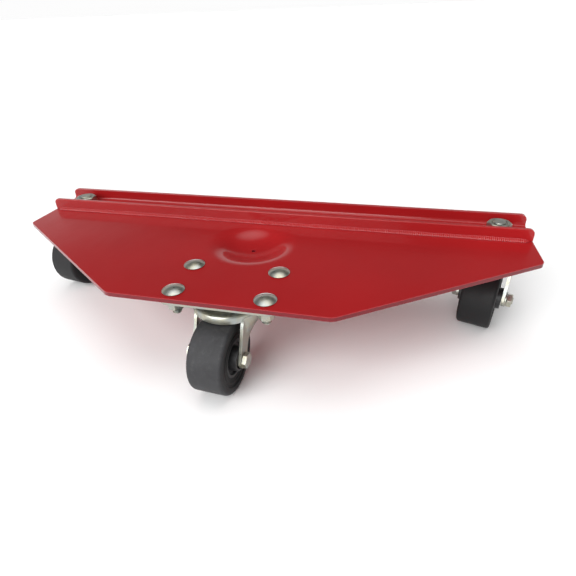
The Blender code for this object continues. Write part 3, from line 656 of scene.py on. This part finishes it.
def hexagonal(across_flats, low, high, bore=0.0, crowns=(True, True)):
    """A hexagon whose crowned ends are cut back to a cone, as on a nut or a bolt's head."""
    apothem = across_flats / 2
    crown = apothem * 0.96
    per_side = 12
    rise = math.tan(math.radians(28))
    lift = 0.0003
    if bore:
        mouth = bore + 0.0007
        profile = [(bore, low + 0.0006), (mouth, low), (crown, low), (apothem, low), (apothem, high)]
        profile += [(crown, high), (mouth, high), (bore, high - 0.0006)]
    else:
        profile = [(0.0, low), (crown, low), (apothem, low), (apothem, high), (crown, high), (0.0, high)]
    bm = turned(profile, 6 * per_side)
    furthest = apothem / math.cos(math.pi / 6) * 0.985
    for vert in bm.verts:
        if abs(vert.co.xy.length - apothem) > SAME_POINT:
            continue
        angle = math.atan2(vert.co.y, vert.co.x)
        off_flat = (angle + math.pi / 6) % (math.pi / 3) - math.pi / 6
        reach = min(apothem / math.cos(off_flat), furthest)
        vert.co.xy *= reach / apothem
        drop = lift * 0.3 + max(reach - crown, 0.0) * rise
        if vert.co.z > (low + high) / 2:
            vert.co.z -= drop if crowns[1] else 0.0
        else:
            vert.co.z += drop if crowns[0] else 0.0
    return bm


def threaded(radius, pitch, low, high, segments=36):
    """A rod with a helical thread, cut flat at both ends."""
    bm = bmesh.new()
    root = radius - 0.55 * pitch
    tooth = ((0.0, root), (0.1, root), (0.44, radius), (0.56, radius), (0.9, root))
    verts = []
    for turn in range(math.ceil((high - low) / pitch) + 2):
        start = low + (turn - 1.5) * pitch
        verts += [bm.verts.new((reach, 0, start + share * pitch)) for share, reach in tooth]
    edges = [bm.edges.new(pair) for pair in zip(verts, verts[1:])]
    bmesh.ops.spin(
        bm,
        geom=verts + edges,
        cent=(0, 0, 0),
        axis=(0, 0, 1),
        dvec=(0, 0, pitch / segments),
        angle=FULL_TURN,
        steps=segments,
    )
    bmesh.ops.remove_doubles(bm, verts=bm.verts, dist=SAME_POINT)
    for height, direction in ((low, -1), (high, 1)):
        everything = [*bm.verts, *bm.edges, *bm.faces]
        cut = bmesh.ops.bisect_plane(
            bm,
            geom=everything,
            dist=NO_LENGTH,
            plane_co=(0, 0, height),
            plane_no=(0, 0, direction),
            clear_outer=True,
        )
        rim = [item for item in cut["geom_cut"] if isinstance(item, bmesh.types.BMEdge)]
        bmesh.ops.contextual_create(bm, geom=rim)
    bmesh.ops.recalc_face_normals(bm, faces=bm.faces)
    return bm


def chamfered_end(bm, end, radius, direction):
    """Draw the last threads in, so that the end of the rod is chamfered."""
    for vert in bm.verts:
        depth = (end - vert.co.z) * direction
        allowed = radius * 0.8 + depth
        reach = vert.co.xy.length
        if reach > allowed:
            vert.co.xy *= allowed / reach
    return bm


def extruded(bm, edges):
    """(new vertices, new far edges) of a strip of faces drawn out from these edges."""
    made = bmesh.ops.extrude_edge_only(bm, edges=edges)["geom"]
    verts = {item for item in made if isinstance(item, bmesh.types.BMVert)}
    far = [item for item in made if isinstance(item, bmesh.types.BMEdge) and set(item.verts) <= verts]
    return list(verts), far


def rounded_corners(bm, geom, radius, segments, affect="VERTICES"):
    bmesh.ops.bevel(
        bm,
        geom=geom,
        offset=radius,
        offset_type="OFFSET",
        segments=segments,
        profile=0.5,
        affect=affect,
        material=-1,
    )


def open_circle(bm, radius, segments, centre, height):
    made = bmesh.ops.create_circle(
        bm, radius=radius, segments=segments, matrix=Matrix.Translation((*centre, height))
    )
    return list({edge for vert in made["verts"] for edge in vert.link_edges})


# ---------------------------------------------------------------- deck, rail and weld


def dish_profile(deck, steps):
    """(radius, depth) from the dish's rim in to the hole at its centre."""
    slope = deck.dish_slope
    shoulder = deck.dish_shoulder / math.sin(slope)
    bowl = (deck.dish_radius - deck.dish_shoulder - deck.dish_flat) / math.sin(slope)
    rings = [(deck.dish_radius, 0.0)]
    for step in range(1, steps + 1):
        angle = slope * step / steps
        rings.append((deck.dish_radius - shoulder * math.sin(angle), shoulder * (1 - math.cos(angle))))
    shoulder_depth = rings[-1][1]
    for step in range(steps - 1, -1, -1):
        angle = slope * step / steps
        depth = shoulder_depth + bowl * (math.cos(angle) - math.cos(slope))
        rings.append((deck.dish_flat + bowl * math.sin(angle), depth))
    rings.append((deck.dish_hole, rings[-1][1]))
    return rings


def deck_sheet(deck):
    """The plate's top face, with its holes, dish and lip, before it has a thickness."""
    bm = bmesh.new()
    rail_front = RAIL_LOW[1]
    lip_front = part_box("deck_plate")[1][1] - (DECK_TOP - DECK_UNDERSIDE)
    bend_start = lip_front - deck.bend_radius
    support = deck.support
    end = RAIL_HIGH[0]
    corners = [
        (deck.front_half_width, rail_front - deck.front_depth),
        (deck.half_width, rail_front - deck.side_depth),
        (end, rail_front),
        (end, bend_start - support),
    ]
    outline = corners + [(-x, y) for x, y in reversed(corners)]
    verts = [bm.verts.new((x, y, DECK_TOP)) for x, y in outline]
    bm.faces.new(verts)
    rounded_corners(bm, [*verts[0:3], *verts[5:8]], deck.corner_radius, 6)
    bmesh.ops.delete(bm, geom=bm.faces[:], context="FACES_ONLY")
    rear_y = bend_start - support
    rear = [edge for edge in bm.edges if all(abs(v.co.y - rear_y) < SAME_POINT for v in edge.verts)]
    edges = list(bm.edges)
    centre = (0.0, rail_front - deck.dish_radius)
    rim = open_circle(bm, deck.dish_radius + support, 96, centre, DECK_TOP)
    edges += rim
    for side in SIDES:
        edges += open_circle(bm, deck.stem_hole, 48, middle(f"{side}_stem").xy, DECK_TOP)
    for place in BOLT_PLACES:
        edges += open_circle(bm, deck.bolt_hole, 4, middle(f"carriage_bolt_{place}").xy, DECK_TOP)
    bmesh.ops.triangle_fill(bm, use_beauty=True, edges=edges, normal=(0, 0, 1))
    at_centre = Matrix.Translation((0, -centre[1], 0))
    radius, depth = deck.dish_radius + support, 0.0
    for next_radius, next_depth in dish_profile(deck, 9):
        verts, rim = extruded(bm, rim)
        shrink = next_radius / radius
        bmesh.ops.scale(bm, verts=verts, vec=(shrink, shrink, 1), space=at_centre)
        bmesh.ops.translate(bm, verts=verts, vec=(0, 0, depth - next_depth))
        radius, depth = next_radius, next_depth
    verts, rear = extruded(bm, rear)
    bmesh.ops.translate(bm, verts=verts, vec=(0, support, 0))
    bend = bmesh.ops.spin(
        bm,
        geom=rear,
        cent=(0, bend_start, DECK_TOP + deck.bend_radius),
        axis=(1, 0, 0),
        angle=math.pi / 2,
        steps=10,
    )
    upper = [item for item in bend["geom_last"] if isinstance(item, bmesh.types.BMEdge)]
    verts, upper = extruded(bm, upper)
    lip_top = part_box("deck_plate")[1][2]
    bmesh.ops.translate(bm, verts=verts, vec=(0, 0, lip_top - DECK_TOP - deck.bend_radius))
    rounded_corners(bm, verts, deck.end_radius, 8)
    bmesh.ops.remove_doubles(bm, verts=bm.verts, dist=SAME_POINT)
    bmesh.ops.recalc_face_normals(bm, faces=bm.faces)
    highest = max(bm.faces, key=lambda item: abs(item.normal.z) * item.calc_area())
    if highest.normal.z < 0:
        bmesh.ops.reverse_faces(bm, faces=bm.faces)
    return bm


class DOLLY_OT_deck(bpy.types.Operator):
    """Make the pressed deck plate with its dish and its folded lip"""

    bl_idname = "dolly.deck"
    bl_label = "Deck plate"

    def execute(self, context):
        deck = context.scene.dolly_deck
        obj = piece("deck_plate", deck_sheet(deck), "red_powder_coat", "deck", 40.0)
        plate = obj.modifiers.new("plate thickness", "SOLIDIFY")
        plate.thickness = DECK_TOP - DECK_UNDERSIDE
        plate.offset = -1.0
        plate.use_even_offset = True
        softened(obj, deck.edge_radius, 3, 50.0)
        return {"FINISHED"}


class DOLLY_OT_rail(bpy.types.Operator):
    """Make the flat bar that stands along the front of the track"""

    bl_idname = "dolly.rail"
    bl_label = "Track rail"

    def execute(self, context):
        deck = context.scene.dolly_deck
        low, high = Vector(RAIL_LOW), Vector(RAIL_HIGH)
        bm = bmesh.new()
        size = Matrix.Diagonal((*(high - low), 1.0))
        bmesh.ops.create_cube(bm, size=1.0, matrix=Matrix.Translation((low + high) / 2) @ size)
        upper_ends = [
            edge
            for edge in bm.edges
            if all(v.co.z > high.z - SAME_POINT for v in edge.verts)
            and abs(edge.verts[0].co.x - edge.verts[1].co.x) < SAME_POINT
        ]
        rounded_corners(bm, upper_ends, deck.end_radius, 8, "EDGES")
        obj = piece("track_rail", bm, "red_powder_coat", "deck", 40.0)
        softened(obj, deck.edge_radius, 3, 50.0)
        return {"FINISHED"}


class DOLLY_OT_weld(bpy.types.Operator):
    """Make the rippled fillet weld along the foot of the rail"""

    bl_idname = "dolly.weld"
    bl_label = "Rail weld"

    def execute(self, context):
        deck = context.scene.dolly_deck
        low, high = (Vector(corner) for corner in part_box("rail_weld"))
        leg = deck.weld_leg
        steps = round((high.x - low.x) / deck.weld_ripple) * 6
        bm = bmesh.new()
        section = [(0.0, 0.0), (-leg, 0.0), (-0.86 * leg, 0.26 * leg), (-0.62 * leg, 0.55 * leg)]
        section += [(-0.3 * leg, 0.82 * leg), (0.0, leg)]
        verts = [bm.verts.new((low.x, high.y + y, low.z + z)) for y, z in section]
        first = bm.faces.new(verts)
        edges = list(first.edges)
        bmesh.ops.spin(
            bm,
            geom=[*verts, *edges, first],
            cent=(0, 0, 0),
            axis=(1, 0, 0),
            dvec=((high.x - low.x) / steps, 0, 0),
            angle=0.0,
            steps=steps,
        )
        for vert in bm.verts:
            along = vert.co.x - low.x
            to_end = min(along, high.x - vert.co.x)
            ripple = 0.07 * math.sin(FULL_TURN * along / deck.weld_ripple)
            drift = 0.06 * math.sin(along * 71) + 0.05 * math.sin(along * 173 + 1)
            size = (0.86 + ripple + drift) * min(1.0, 0.35 + to_end / (2 * leg))
            vert.co.y = high.y + (vert.co.y - high.y) * size
            vert.co.z = low.z + (vert.co.z - low.z) * size
        clean(bm)
        piece("rail_weld", bm, "red_powder_coat", "deck", 60.0)
        return {"FINISHED"}


# ---------------------------------------------------------------- front fasteners


def carriage_bolt(hardware, node):
    """A domed head on a square neck, a plain shank and a threaded end."""
    end, top = heights(node)
    seat = DECK_TOP + TOUCH
    head_height = top - seat
    head_radius = hardware.bolt_dome
    radius = hardware.bolt_radius
    dome = (head_radius**2 + head_height**2) / (2 * head_height)
    sweep = math.asin(head_radius / dome)
    profile = [(0.0, seat), (head_radius * 0.97, seat), (head_radius, seat + 0.0005)]
    steps = 10
    for step in range(steps, -1, -1):
        angle = sweep * 0.95 * step / steps
        profile.append((dome * math.sin(angle), top - dome * (1 - math.cos(angle))))
    head = turned(profile, 64)
    neck = bmesh.new()
    low, high = DECK_UNDERSIDE + TOUCH, seat + head_height * 0.3
    size = Matrix.Diagonal((hardware.bolt_neck, hardware.bolt_neck, high - low, 1.0))
    bmesh.ops.create_cube(neck, size=1.0, matrix=Matrix.Translation((0, 0, (low + high) / 2)) @ size)
    thread_end = end + hardware.bolt_thread
    plain = radius - 0.0004
    shank_low = thread_end - 0.0005
    shank = turned([(0.0, shank_low), (plain, shank_low), (plain, seat), (0.0, seat)], 32)
    rod = threaded(radius, hardware.bolt_pitch, end, thread_end)
    return joined(node, [head, neck, shank, chamfered_end(rod, end, radius, -1)])


def washer_and_nut(nodes, sizes, stand, degrees):
    """The washer and the nut of a bolt or a stem. Sizes are the bore, washer radius and nut width."""
    bore, washer_radius, flats = sizes
    low, high = heights(nodes[0])
    piece(nodes[0], moved(ring(bore, washer_radius, low, high), stand), "zinc_plate", "deck")
    low, high = heights(nodes[1])
    nut = hexagonal(flats, low, high, bore)
    piece(nodes[1], moved(nut, stand @ turned_by(degrees)), "zinc_plate", "deck", 24.0)


class DOLLY_OT_bolts(bpy.types.Operator):
    """Make the carriage bolts that hold the front caster, with their washers and nuts"""

    bl_idname = "dolly.bolts"
    bl_label = "Front bolts"

    def execute(self, context):
        hardware = context.scene.dolly_hardware
        for index, place in enumerate(BOLT_PLACES):
            node = f"carriage_bolt_{place}"
            stand = over(middle(node))
            piece(node, moved(carriage_bolt(hardware, node), stand), "zinc_plate", "deck", 32.0)
            nodes = (f"bolt_washer_{place}", f"bolt_nut_{place}")
            sizes = (hardware.bolt_bore, hardware.bolt_washer, hardware.bolt_flats)
            washer_and_nut(nodes, sizes, stand, 17 + 23 * index)
        return {"FINISHED"}


# ---------------------------------------------------------------- casters, fixed half


def head_section(hardware, node, reach):
    """Section of a head plate with the pressed upper race under it."""
    low, high = heights(node)
    bore = hardware.pin_bore
    recess = hardware.pin_head + 0.0004
    floor = high - hardware.pin_head_height - 3 * TOUCH
    plate_low = high - hardware.head_sheet
    race = hardware.upper_race
    return [
        (bore, floor, 0.0002),
        (recess, floor, 0.0002),
        (recess, high, 0.0005),
        (reach, high, 0.0008),
        (reach, plate_low, 0.0008),
        (race, plate_low, 0.0012),
        (race, low, 0.0014),
        (bore, low, 0.0004),
    ]


class DOLLY_OT_mount_plate(bpy.types.Operator):
    """Make the front caster's mount plate with the upper race pressed into it"""

    bl_idname = "dolly.mount_plate"
    bl_label = "Front mount plate"

    def execute(self, context):
        hardware = context.scene.dolly_hardware
        node = "front_mount_plate"
        low, high = (Vector(corner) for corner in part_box(node))
        kingpin = caster_facts("front")[0]
        reach = hardware.upper_race + hardware.head_sheet
        head = turned(filleted(head_section(hardware, node, reach), 0.0004), 96)
        flange = bmesh.new()
        near, far = low - kingpin, high - kingpin
        outline = [(near.x, near.y), (far.x, near.y), (far.x, far.y), (near.x, far.y)]
        plate_low = high.z - hardware.head_sheet
        verts = [flange.verts.new((x, y, plate_low)) for x, y in outline]
        flange.faces.new(verts)
        rounded_corners(flange, verts, hardware.plate_corner, 8)
        bmesh.ops.delete(flange, geom=flange.faces[:], context="FACES_ONLY")
        edges = list(flange.edges)
        edges += open_circle(flange, hardware.upper_race - hardware.head_sheet, 96, (0, 0), plate_low)
        for place in BOLT_PLACES:
            spot = middle(f"carriage_bolt_{place}") - kingpin
            edges += open_circle(flange, hardware.bolt_bore, 32, spot.xy, plate_low)
        bmesh.ops.triangle_fill(flange, use_beauty=True, edges=edges, normal=(0, 0, 1))
        made = bmesh.ops.extrude_face_region(flange, geom=flange.faces[:])["geom"]
        upper = [item for item in made if isinstance(item, bmesh.types.BMVert)]
        bmesh.ops.translate(flange, verts=upper, vec=(0, 0, high.z - plate_low))
        bmesh.ops.recalc_face_normals(flange, faces=flange.faces)
        bm = joined(node, [head, flange])
        obj = piece(node, moved(bm, over(kingpin)), "zinc_plate", "deck", 30.0)
        softened(obj, 0.0006, 2, 60.0)
        return {"FINISHED"}


def kingpin_section(hardware, node):
    """Section of a kingpin from its peened lower end up to its flat head."""
    low = heights(node)[0]
    head_top = HEAD_PLATE_TOP - TOUCH
    head_low = head_top - hardware.pin_head_height
    peen_top = low + hardware.peen_height
    return [
        (0.0, low + 0.0002),
        (0.0035, low, 0.0003),
        (hardware.peen_radius, low + 0.0006, 0.0006),
        (hardware.peen_radius, peen_top, 0.0003),
        (hardware.pin_radius, peen_top, 0.0),
        (hardware.pin_radius, head_low, 0.0),
        (hardware.pin_head, head_low, 0.0003),
        (hardware.pin_head, head_top, 0.0003),
    ]


class DOLLY_OT_stems(bpy.types.Operator):
    """Make the kingpins, and the stems with their head plates, washers and nuts"""

    bl_idname = "dolly.stems"
    bl_label = "Kingpins and stems"

    def execute(self, context):
        hardware = context.scene.dolly_hardware
        stand = over(caster_facts("front")[0])
        profile = [*kingpin_section(hardware, "front_kingpin"), (0.0, HEAD_PLATE_TOP - TOUCH, 0.0)]
        pin = turned(filleted(profile, 0.0), 48)
        piece("front_kingpin", moved(pin, stand), "bearing_steel", "deck")
        for index, side in enumerate(SIDES):
            stand = over(caster_facts(side)[0])
            node = f"{side}_head_plate"
            reach = (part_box(node)[1][0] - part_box(node)[0][0]) / 2
            head = turned(filleted(head_section(hardware, node, reach), 0.0004), 96)
            piece(node, moved(head, stand), "zinc_plate", "deck", 30.0)
            node = f"{side}_stem"
            end = heights(node)[1]
            shoulder = DECK_TOP - 0.001
            plain = hardware.stem_radius - 0.0003
            profile = [*kingpin_section(hardware, node), (plain, HEAD_PLATE_TOP - TOUCH, 0.0)]
            profile += [(plain, shoulder, 0.0), (0.0, shoulder, 0.0)]
            lower = turned(filleted(profile, 0.0), 48)
            rod = threaded(hardware.stem_radius, hardware.stem_pitch, shoulder - 0.001, end, 48)
            bm = joined(node, [lower, chamfered_end(rod, end, hardware.stem_radius, 1)])
            piece(node, moved(bm, stand @ turned_by(40 * index)), "zinc_plate", "deck", 28.0)
            nodes = (f"{side}_stem_washer", f"{side}_stem_nut")
            sizes = (hardware.stem_bore, hardware.stem_washer, hardware.stem_flats)
            washer_and_nut(nodes, sizes, stand, 8 + 19 * index)
        return {"FINISHED"}


# ---------------------------------------------------------------- casters, swivelling half


def ball_row(hardware, pitch_radius, height):
    """Separate balls in a thin cage ring."""
    width = hardware.cage_width / 2
    rise = hardware.cage_height / 2
    bm = ring(pitch_radius - width, pitch_radius + width, height - rise, height + rise, 64, 0.0002)
    for index in range(hardware.ball_count):
        turn = Matrix.Rotation(FULL_TURN * index / hardware.ball_count, 4, "Z")
        place = turn @ Matrix.Translation((pitch_radius, 0, height))
        bmesh.ops.create_icosphere(bm, subdivisions=2, radius=hardware.ball_radius, matrix=place)
    return bm


class DOLLY_OT_bearings(bpy.types.Operator):
    """Make the races and ball rows of the three swivel bearings"""

    bl_idname = "dolly.bearings"
    bl_label = "Swivel bearings"

    def execute(self, context):
        hardware = context.scene.dolly_hardware
        for corner in CORNERS:
            stand = upright(corner)
            node = f"{corner}_lower_race"
            low, high = heights(node)
            race = ring(hardware.pin_bore, hardware.lower_race, low, high, 64, 0.0008)
            piece(node, moved(race, stand), "bearing_steel", "deck")
            rows = (("upper", hardware.upper_balls), ("lower", hardware.lower_balls))
            for row, pitch_radius in rows:
                node = f"{corner}_{row}_balls"
                balls = ball_row(hardware, pitch_radius, middle(node).z)
                piece(node, moved(balls, stand), "bearing_steel", f"{corner}_swivel", 50.0)
        return {"FINISHED"}


def smoothstep(share):
    share = min(max(share, 0.0), 1.0)
    return share * share * (3 - 2 * share)


def crown(caster, top):
    """The fork's crown: a flat top, a rounded shoulder and a short skirt."""
    sheet = caster.sheet
    radius = caster.crown_radius
    skirt = top - caster.crown_skirt
    bore = caster.crown_bore
    profile = [
        (bore, top - sheet, 0.0003),
        (radius - sheet, top - sheet, 0.0012),
        (radius - sheet, skirt, 0.0005),
        (radius, skirt, 0.0009),
        (radius, top, 0.0042),
        (bore, top, 0.0006),
    ]
    return turned(filleted(profile, 0.0004, 6), 120)


def leg(caster, side, top, axle_height, trail):
    """One leg of the fork: round where it leaves the crown, and flat at the axle."""
    leg_outer = caster.leg_inner + caster.sheet
    start = top - caster.crown_shoulder
    round_radius = caster.crown_radius + caster.leg_proud
    front_at_crown = math.sqrt(round_radius**2 - leg_outer**2)
    boss = caster.leg_boss
    rows, columns = 40, 18
    straight = 26
    bm = bmesh.new()
    bmesh.ops.create_grid(bm, x_segments=columns, y_segments=rows, size=0.5)
    for vert in bm.verts:
        across = vert.co.x + 0.5
        down = (vert.co.y + 0.5) * rows
        if down <= straight:
            share = down / straight
            height = start + (axle_height - start) * share
            front = front_at_crown + (trail + boss - front_at_crown) * share
            rear_end = trail - boss
            narrowing = 1 - (1 - share) ** 2
            rear = -caster.leg_rear + (rear_end + caster.leg_rear) * narrowing
        else:
            angle = caster.leg_sweep * (down - straight) / (rows - straight)
            height = axle_height - boss * math.sin(angle)
            rear = trail - boss * math.cos(angle)
            front = trail + boss * math.cos(angle)
        trailing = rear + (front - rear) * across
        bulge = math.sqrt(max(round_radius**2 - trailing**2, leg_outer**2))
        flat = smoothstep((start - height) / (start - axle_height - caster.leg_flat))
        vert.co = (side * (bulge + (leg_outer - bulge) * flat), -trailing, height)
    bmesh.ops.recalc_face_normals(bm, faces=bm.faces)
    bm.faces.ensure_lookup_table()
    if bm.faces[0].normal.x * side < 0:
        bmesh.ops.reverse_faces(bm, faces=bm.faces)
    bmesh.ops.solidify(bm, geom=bm.faces[:], thickness=caster.sheet)
    bmesh.ops.recalc_face_normals(bm, faces=bm.faces)
    return bm


class DOLLY_OT_forks(bpy.types.Operator):
    """Make the pressed forks of the three casters"""

    bl_idname = "dolly.forks"
    bl_label = "Forks"

    def execute(self, context):
        caster = context.scene.dolly_caster
        for corner in CORNERS:
            _, _, trail, axle_height, _ = caster_facts(corner)
            node = f"{corner}_fork"
            top = heights(node)[1]
            legs = [leg(caster, side, top, axle_height, trail) for side in (-1, 1)]
            bm = joined(node, [crown(caster, top), *legs])
            obj = piece(node, moved(bm, upright(corner)), "zinc_plate", f"{corner}_swivel", 38.0)
            softened(obj, 0.0005, 2, 60.0)
        return {"FINISHED"}


class DOLLY_OT_axles(bpy.types.Operator):
    """Make the axle bolts with their nuts, washers and sleeves"""

    bl_idname = "dolly.axles"
    bl_label = "Axles"

    def execute(self, context):
        hardware = context.scene.dolly_hardware
        caster = context.scene.dolly_caster
        outer = caster.leg_inner + caster.sheet
        for index, corner in enumerate(CORNERS):
            lie = on_axle(corner, mirrored=True)
            body = f"{corner}_swivel"
            head_face = -outer - TOUCH
            washer_low = outer + TOUCH
            washer_high = washer_low + caster.axle_washer
            nut_low = washer_high + TOUCH
            nut_high = nut_low + caster.axle_nut
            end = nut_high + caster.axle_end
            radius = hardware.bolt_radius
            head_end = head_face - caster.axle_head
            head = hexagonal(hardware.bolt_flats, head_end, head_face, crowns=(True, False))
            plain = radius - 0.0003
            shank_low = head_face - 0.002
            section = [(0.0, shank_low), (plain, shank_low), (plain, nut_low), (0.0, nut_low)]
            shank = turned(section, 32)
            rod = threaded(radius, hardware.bolt_pitch, washer_low - 0.001, end)
            bolt = joined(f"{corner}_axle_bolt", [head, shank, chamfered_end(rod, end, radius, 1)])
            place = lie @ turned_by(11 + 21 * index)
            piece(f"{corner}_axle_bolt", moved(bolt, place), "zinc_plate", body, 26.0)
            bore = hardware.bolt_bore
            washer = ring(bore, caster.axle_washer_radius, washer_low, washer_high, 48, 0.0003)
            piece(f"{corner}_axle_washer", moved(washer, lie), "zinc_plate", body)
            nut = hexagonal(hardware.bolt_flats, nut_low, nut_high, bore)
            place = lie @ turned_by(5 + 17 * index)
            piece(f"{corner}_axle_nut", moved(nut, place), "zinc_plate", body, 24.0)
            half = caster.leg_inner - TOUCH
            sleeve = ring(bore, caster.sleeve_radius, -half, half, 48, 0.0002)
            piece(f"{corner}_axle_sleeve", moved(sleeve, lie), "bearing_steel", body)
        return {"FINISHED"}


# ---------------------------------------------------------------- wheels


def tyre_section(caster, wheel_radius):
    """Section of the tyre: a lightly crowned tread, soft shoulders and stepped sides."""
    half = caster.tyre_width / 2
    shoulder = (caster.tyre_width - caster.tread_width) / 2
    bore = caster.tyre_bore
    side = [
        (bore, half - caster.tyre_inset, 0.0003),
        (bore + 0.0035, half - caster.tyre_inset, 0.0004),
        (bore + 0.0042, half - 0.0008, 0.0004),
        (bore + 0.0056, half - 0.0008, 0.0004),
        (bore + 0.0064, half - 0.0013, 0.0004),
        (wheel_radius - shoulder - 0.0012, half - 0.0011, 0.0004),
        (wheel_radius - shoulder - 0.0003, half, 0.0008),
        (wheel_radius, half, shoulder * 0.98),
    ]
    tread = [(wheel_radius, 0.0, 0.0)]
    other = [(radius, -across, own) for radius, across, own in reversed(side)]
    return filleted([*side, *tread, *other], 0.0004, 8)


def lit(bm, shoulder, amount):
    """Mark how lit a tyre is painted: by this amount on its tread, fading out over its shoulders to painted
    shade on its sides.
    """
    layer = bm.verts.layers.float.new(LIGHT_LAYER)
    tread_radius = max(vert.co.xy.length for vert in bm.verts)
    for vert in bm.verts:
        share = 1 - (tread_radius - vert.co.xy.length) / shoulder
        vert[layer] = amount * max(0.0, share)
    return bm


def core_section(caster):
    """Section of the wheel's core: a rim, a dished web and a long hub."""
    outer = caster.tyre_bore - TOUCH
    hub = caster.leg_inner - 0.0005
    web = caster.core_web / 2
    rim = caster.tyre_width / 2 - caster.tyre_inset
    side = [
        (caster.core_bore, hub, 0.0004),
        (caster.core_boss - 0.0004, hub, 0.0006),
        (caster.core_boss, web, 0.0016),
        (outer - 0.0032, web, 0.0016),
        (outer - 0.0028, rim, 0.0006),
        (outer, rim, 0.0003),
    ]
    other = [(radius, -across, own) for radius, across, own in reversed(side)]
    return filleted([*side, *other], 0.0004, 5)


class DOLLY_OT_wheels(bpy.types.Operator):
    """Make the tyres, cores and roller bearings of the three wheels"""

    bl_idname = "dolly.wheels"
    bl_label = "Wheels"

    def execute(self, context):
        caster = context.scene.dolly_caster
        for corner, lightness in zip(CORNERS, caster.tread_lightness):
            axle_height = caster_facts(corner)[3]
            lie = on_axle(corner)
            body = f"{corner}_wheel"
            shoulder = (caster.tyre_width - caster.tread_width) / 2
            tyre = lit(turned(tyre_section(caster, axle_height), 144), shoulder, lightness)
            piece(f"{corner}_tyre", moved(tyre, lie), "rubber_tyre", body, 60.0)
            core = turned(core_section(caster), 96)
            piece(f"{corner}_wheel_core", moved(core, lie), "black_core", body, 50.0)
            half = caster.bush_length / 2
            bearing = ring(caster.bush_bore, caster.bush_radius, -half, half, 48, 0.0003)
            piece(f"{corner}_roller_bearing", moved(bearing, lie), "bearing_steel", body)
        return {"FINISHED"}


# ---------------------------------------------------------------- studio


def room_world(studio):
    """A plain white room, bright overhead and low down, with dim walls between.

    Each stop is the sine of a height above the level, and the brightness there.
    """
    world = bpy.data.worlds.new("white_room")
    world.use_nodes = True
    tree = world.node_tree
    place = link(tree, "ShaderNodeTexCoord").outputs["Generated"]
    height = link(tree, "ShaderNodeSeparateXYZ", {"Vector": place}).outputs["Z"]
    ramp = link(tree, "ShaderNodeValToRGB", {"Fac": height})
    stops = (
        (0.0, studio.horizon),
        (0.27, studio.horizon),
        (0.41, studio.walls),
        (0.82, studio.walls),
        (0.97, studio.ceiling),
    )
    elements = ramp.color_ramp.elements
    while len(elements) < len(stops):
        elements.new(1.0)
    brightest = max(studio.ceiling, studio.horizon)
    for element, (position, level) in zip(elements, stops):
        element.position = position
        share = level / brightest
        element.color = (share, share, share, 1.0)
    background = tree.nodes["Background"]
    tree.links.new(ramp.outputs["Color"], background.inputs["Color"])
    background.inputs["Strength"].default_value = brightest
    return world


def broad_light(name, toward, level, spread_angle):
    """A distant light as broad as a large soft box, shining along a direction."""
    light = bpy.data.lights.new(name, "SUN")
    light.energy = level
    light.angle = spread_angle
    obj = bpy.data.objects.new(name, light)
    obj.rotation_euler = Vector(toward).to_track_quat("-Z", "Y").to_euler()
    bpy.context.scene.collection.objects.link(obj)
    return obj


class DOLLY_OT_studio(bpy.types.Operator):
    """Make the pale floor, the soft lights and the camera"""

    bl_idname = "dolly.studio"
    bl_label = "Studio"

    def execute(self, context):
        studio = context.scene.dolly_studio
        bm = bmesh.new()
        bmesh.ops.create_grid(bm, x_segments=8, y_segments=8, size=60.0)
        floor = loose_object("studio_floor", bm)
        floor.data.materials.append(material("studio_floor", studio_floor))
        broad_light("key_light", studio.key_direction, studio.key_strength, studio.key_spread)
        context.scene.world = room_world(studio)
        context.scene.view_settings.view_transform = "Standard"

        camera = bpy.data.cameras.new("camera")
        camera.sensor_width = 36.0
        camera.lens = studio.lens
        camera.clip_start = 0.01
        camera.clip_end = 200.0
        yaw, pitch, roll = studio.camera_turn
        ahead = math.cos(pitch)
        forward = Vector((-math.sin(yaw) * ahead, math.cos(yaw) * ahead, -math.sin(pitch)))
        level = Vector((math.cos(yaw), math.sin(yaw), 0.0))
        above = level.cross(forward)
        right = math.cos(roll) * level + math.sin(roll) * above
        up = -math.sin(roll) * level + math.cos(roll) * above
        turn = Matrix((right, up, -forward)).transposed().to_4x4()
        obj = bpy.data.objects.new("camera", camera)
        obj.matrix_world = Matrix.Translation(studio.camera_place) @ turn
        context.scene.collection.objects.link(obj)
        context.scene.camera = obj
        return {"FINISHED"}


# ---------------------------------------------------------------- panel and main


GROUPS = (
    ("dolly_deck", DollyDeckSettings),
    ("dolly_hardware", DollyHardwareSettings),
    ("dolly_caster", DollyCasterSettings),
    ("dolly_finish", DollyFinishSettings),
    ("dolly_studio", DollyStudioSettings),
)

OPERATORS = (
    DOLLY_OT_deck,
    DOLLY_OT_rail,
    DOLLY_OT_weld,
    DOLLY_OT_bolts,
    DOLLY_OT_mount_plate,
    DOLLY_OT_stems,
    DOLLY_OT_bearings,
    DOLLY_OT_forks,
    DOLLY_OT_axles,
    DOLLY_OT_wheels,
    DOLLY_OT_studio,
)


class DOLLY_PT_panel(bpy.types.Panel):
    """Lists the settings and the operators that make the dolly"""

    bl_idname = "DOLLY_PT_panel"
    bl_label = "Wheel dolly"
    bl_space_type = "VIEW_3D"
    bl_region_type = "UI"
    bl_category = "Dolly"

    def draw(self, context):
        layout = self.layout
        for operator in OPERATORS:
            layout.operator(operator.bl_idname)
        for name, group in GROUPS:
            box = layout.box()
            for key in group.__annotations__:
                box.prop(getattr(context.scene, name), key)


def register():
    for name, group in GROUPS:
        bpy.utils.register_class(group)
        setattr(bpy.types.Scene, name, PointerProperty(type=group))
    for item in (*OPERATORS, DOLLY_PT_panel):
        bpy.utils.register_class(item)


def unregister():
    for item in (DOLLY_PT_panel, *reversed(OPERATORS)):
        bpy.utils.unregister_class(item)
    for name, group in reversed(GROUPS):
        delattr(bpy.types.Scene, name)
        bpy.utils.unregister_class(group)


def main():
    register()
    for operator in OPERATORS:
        group, name = operator.bl_idname.split(".")
        getattr(getattr(bpy.ops, group), name)()


if __name__ == "__main__":
    main()
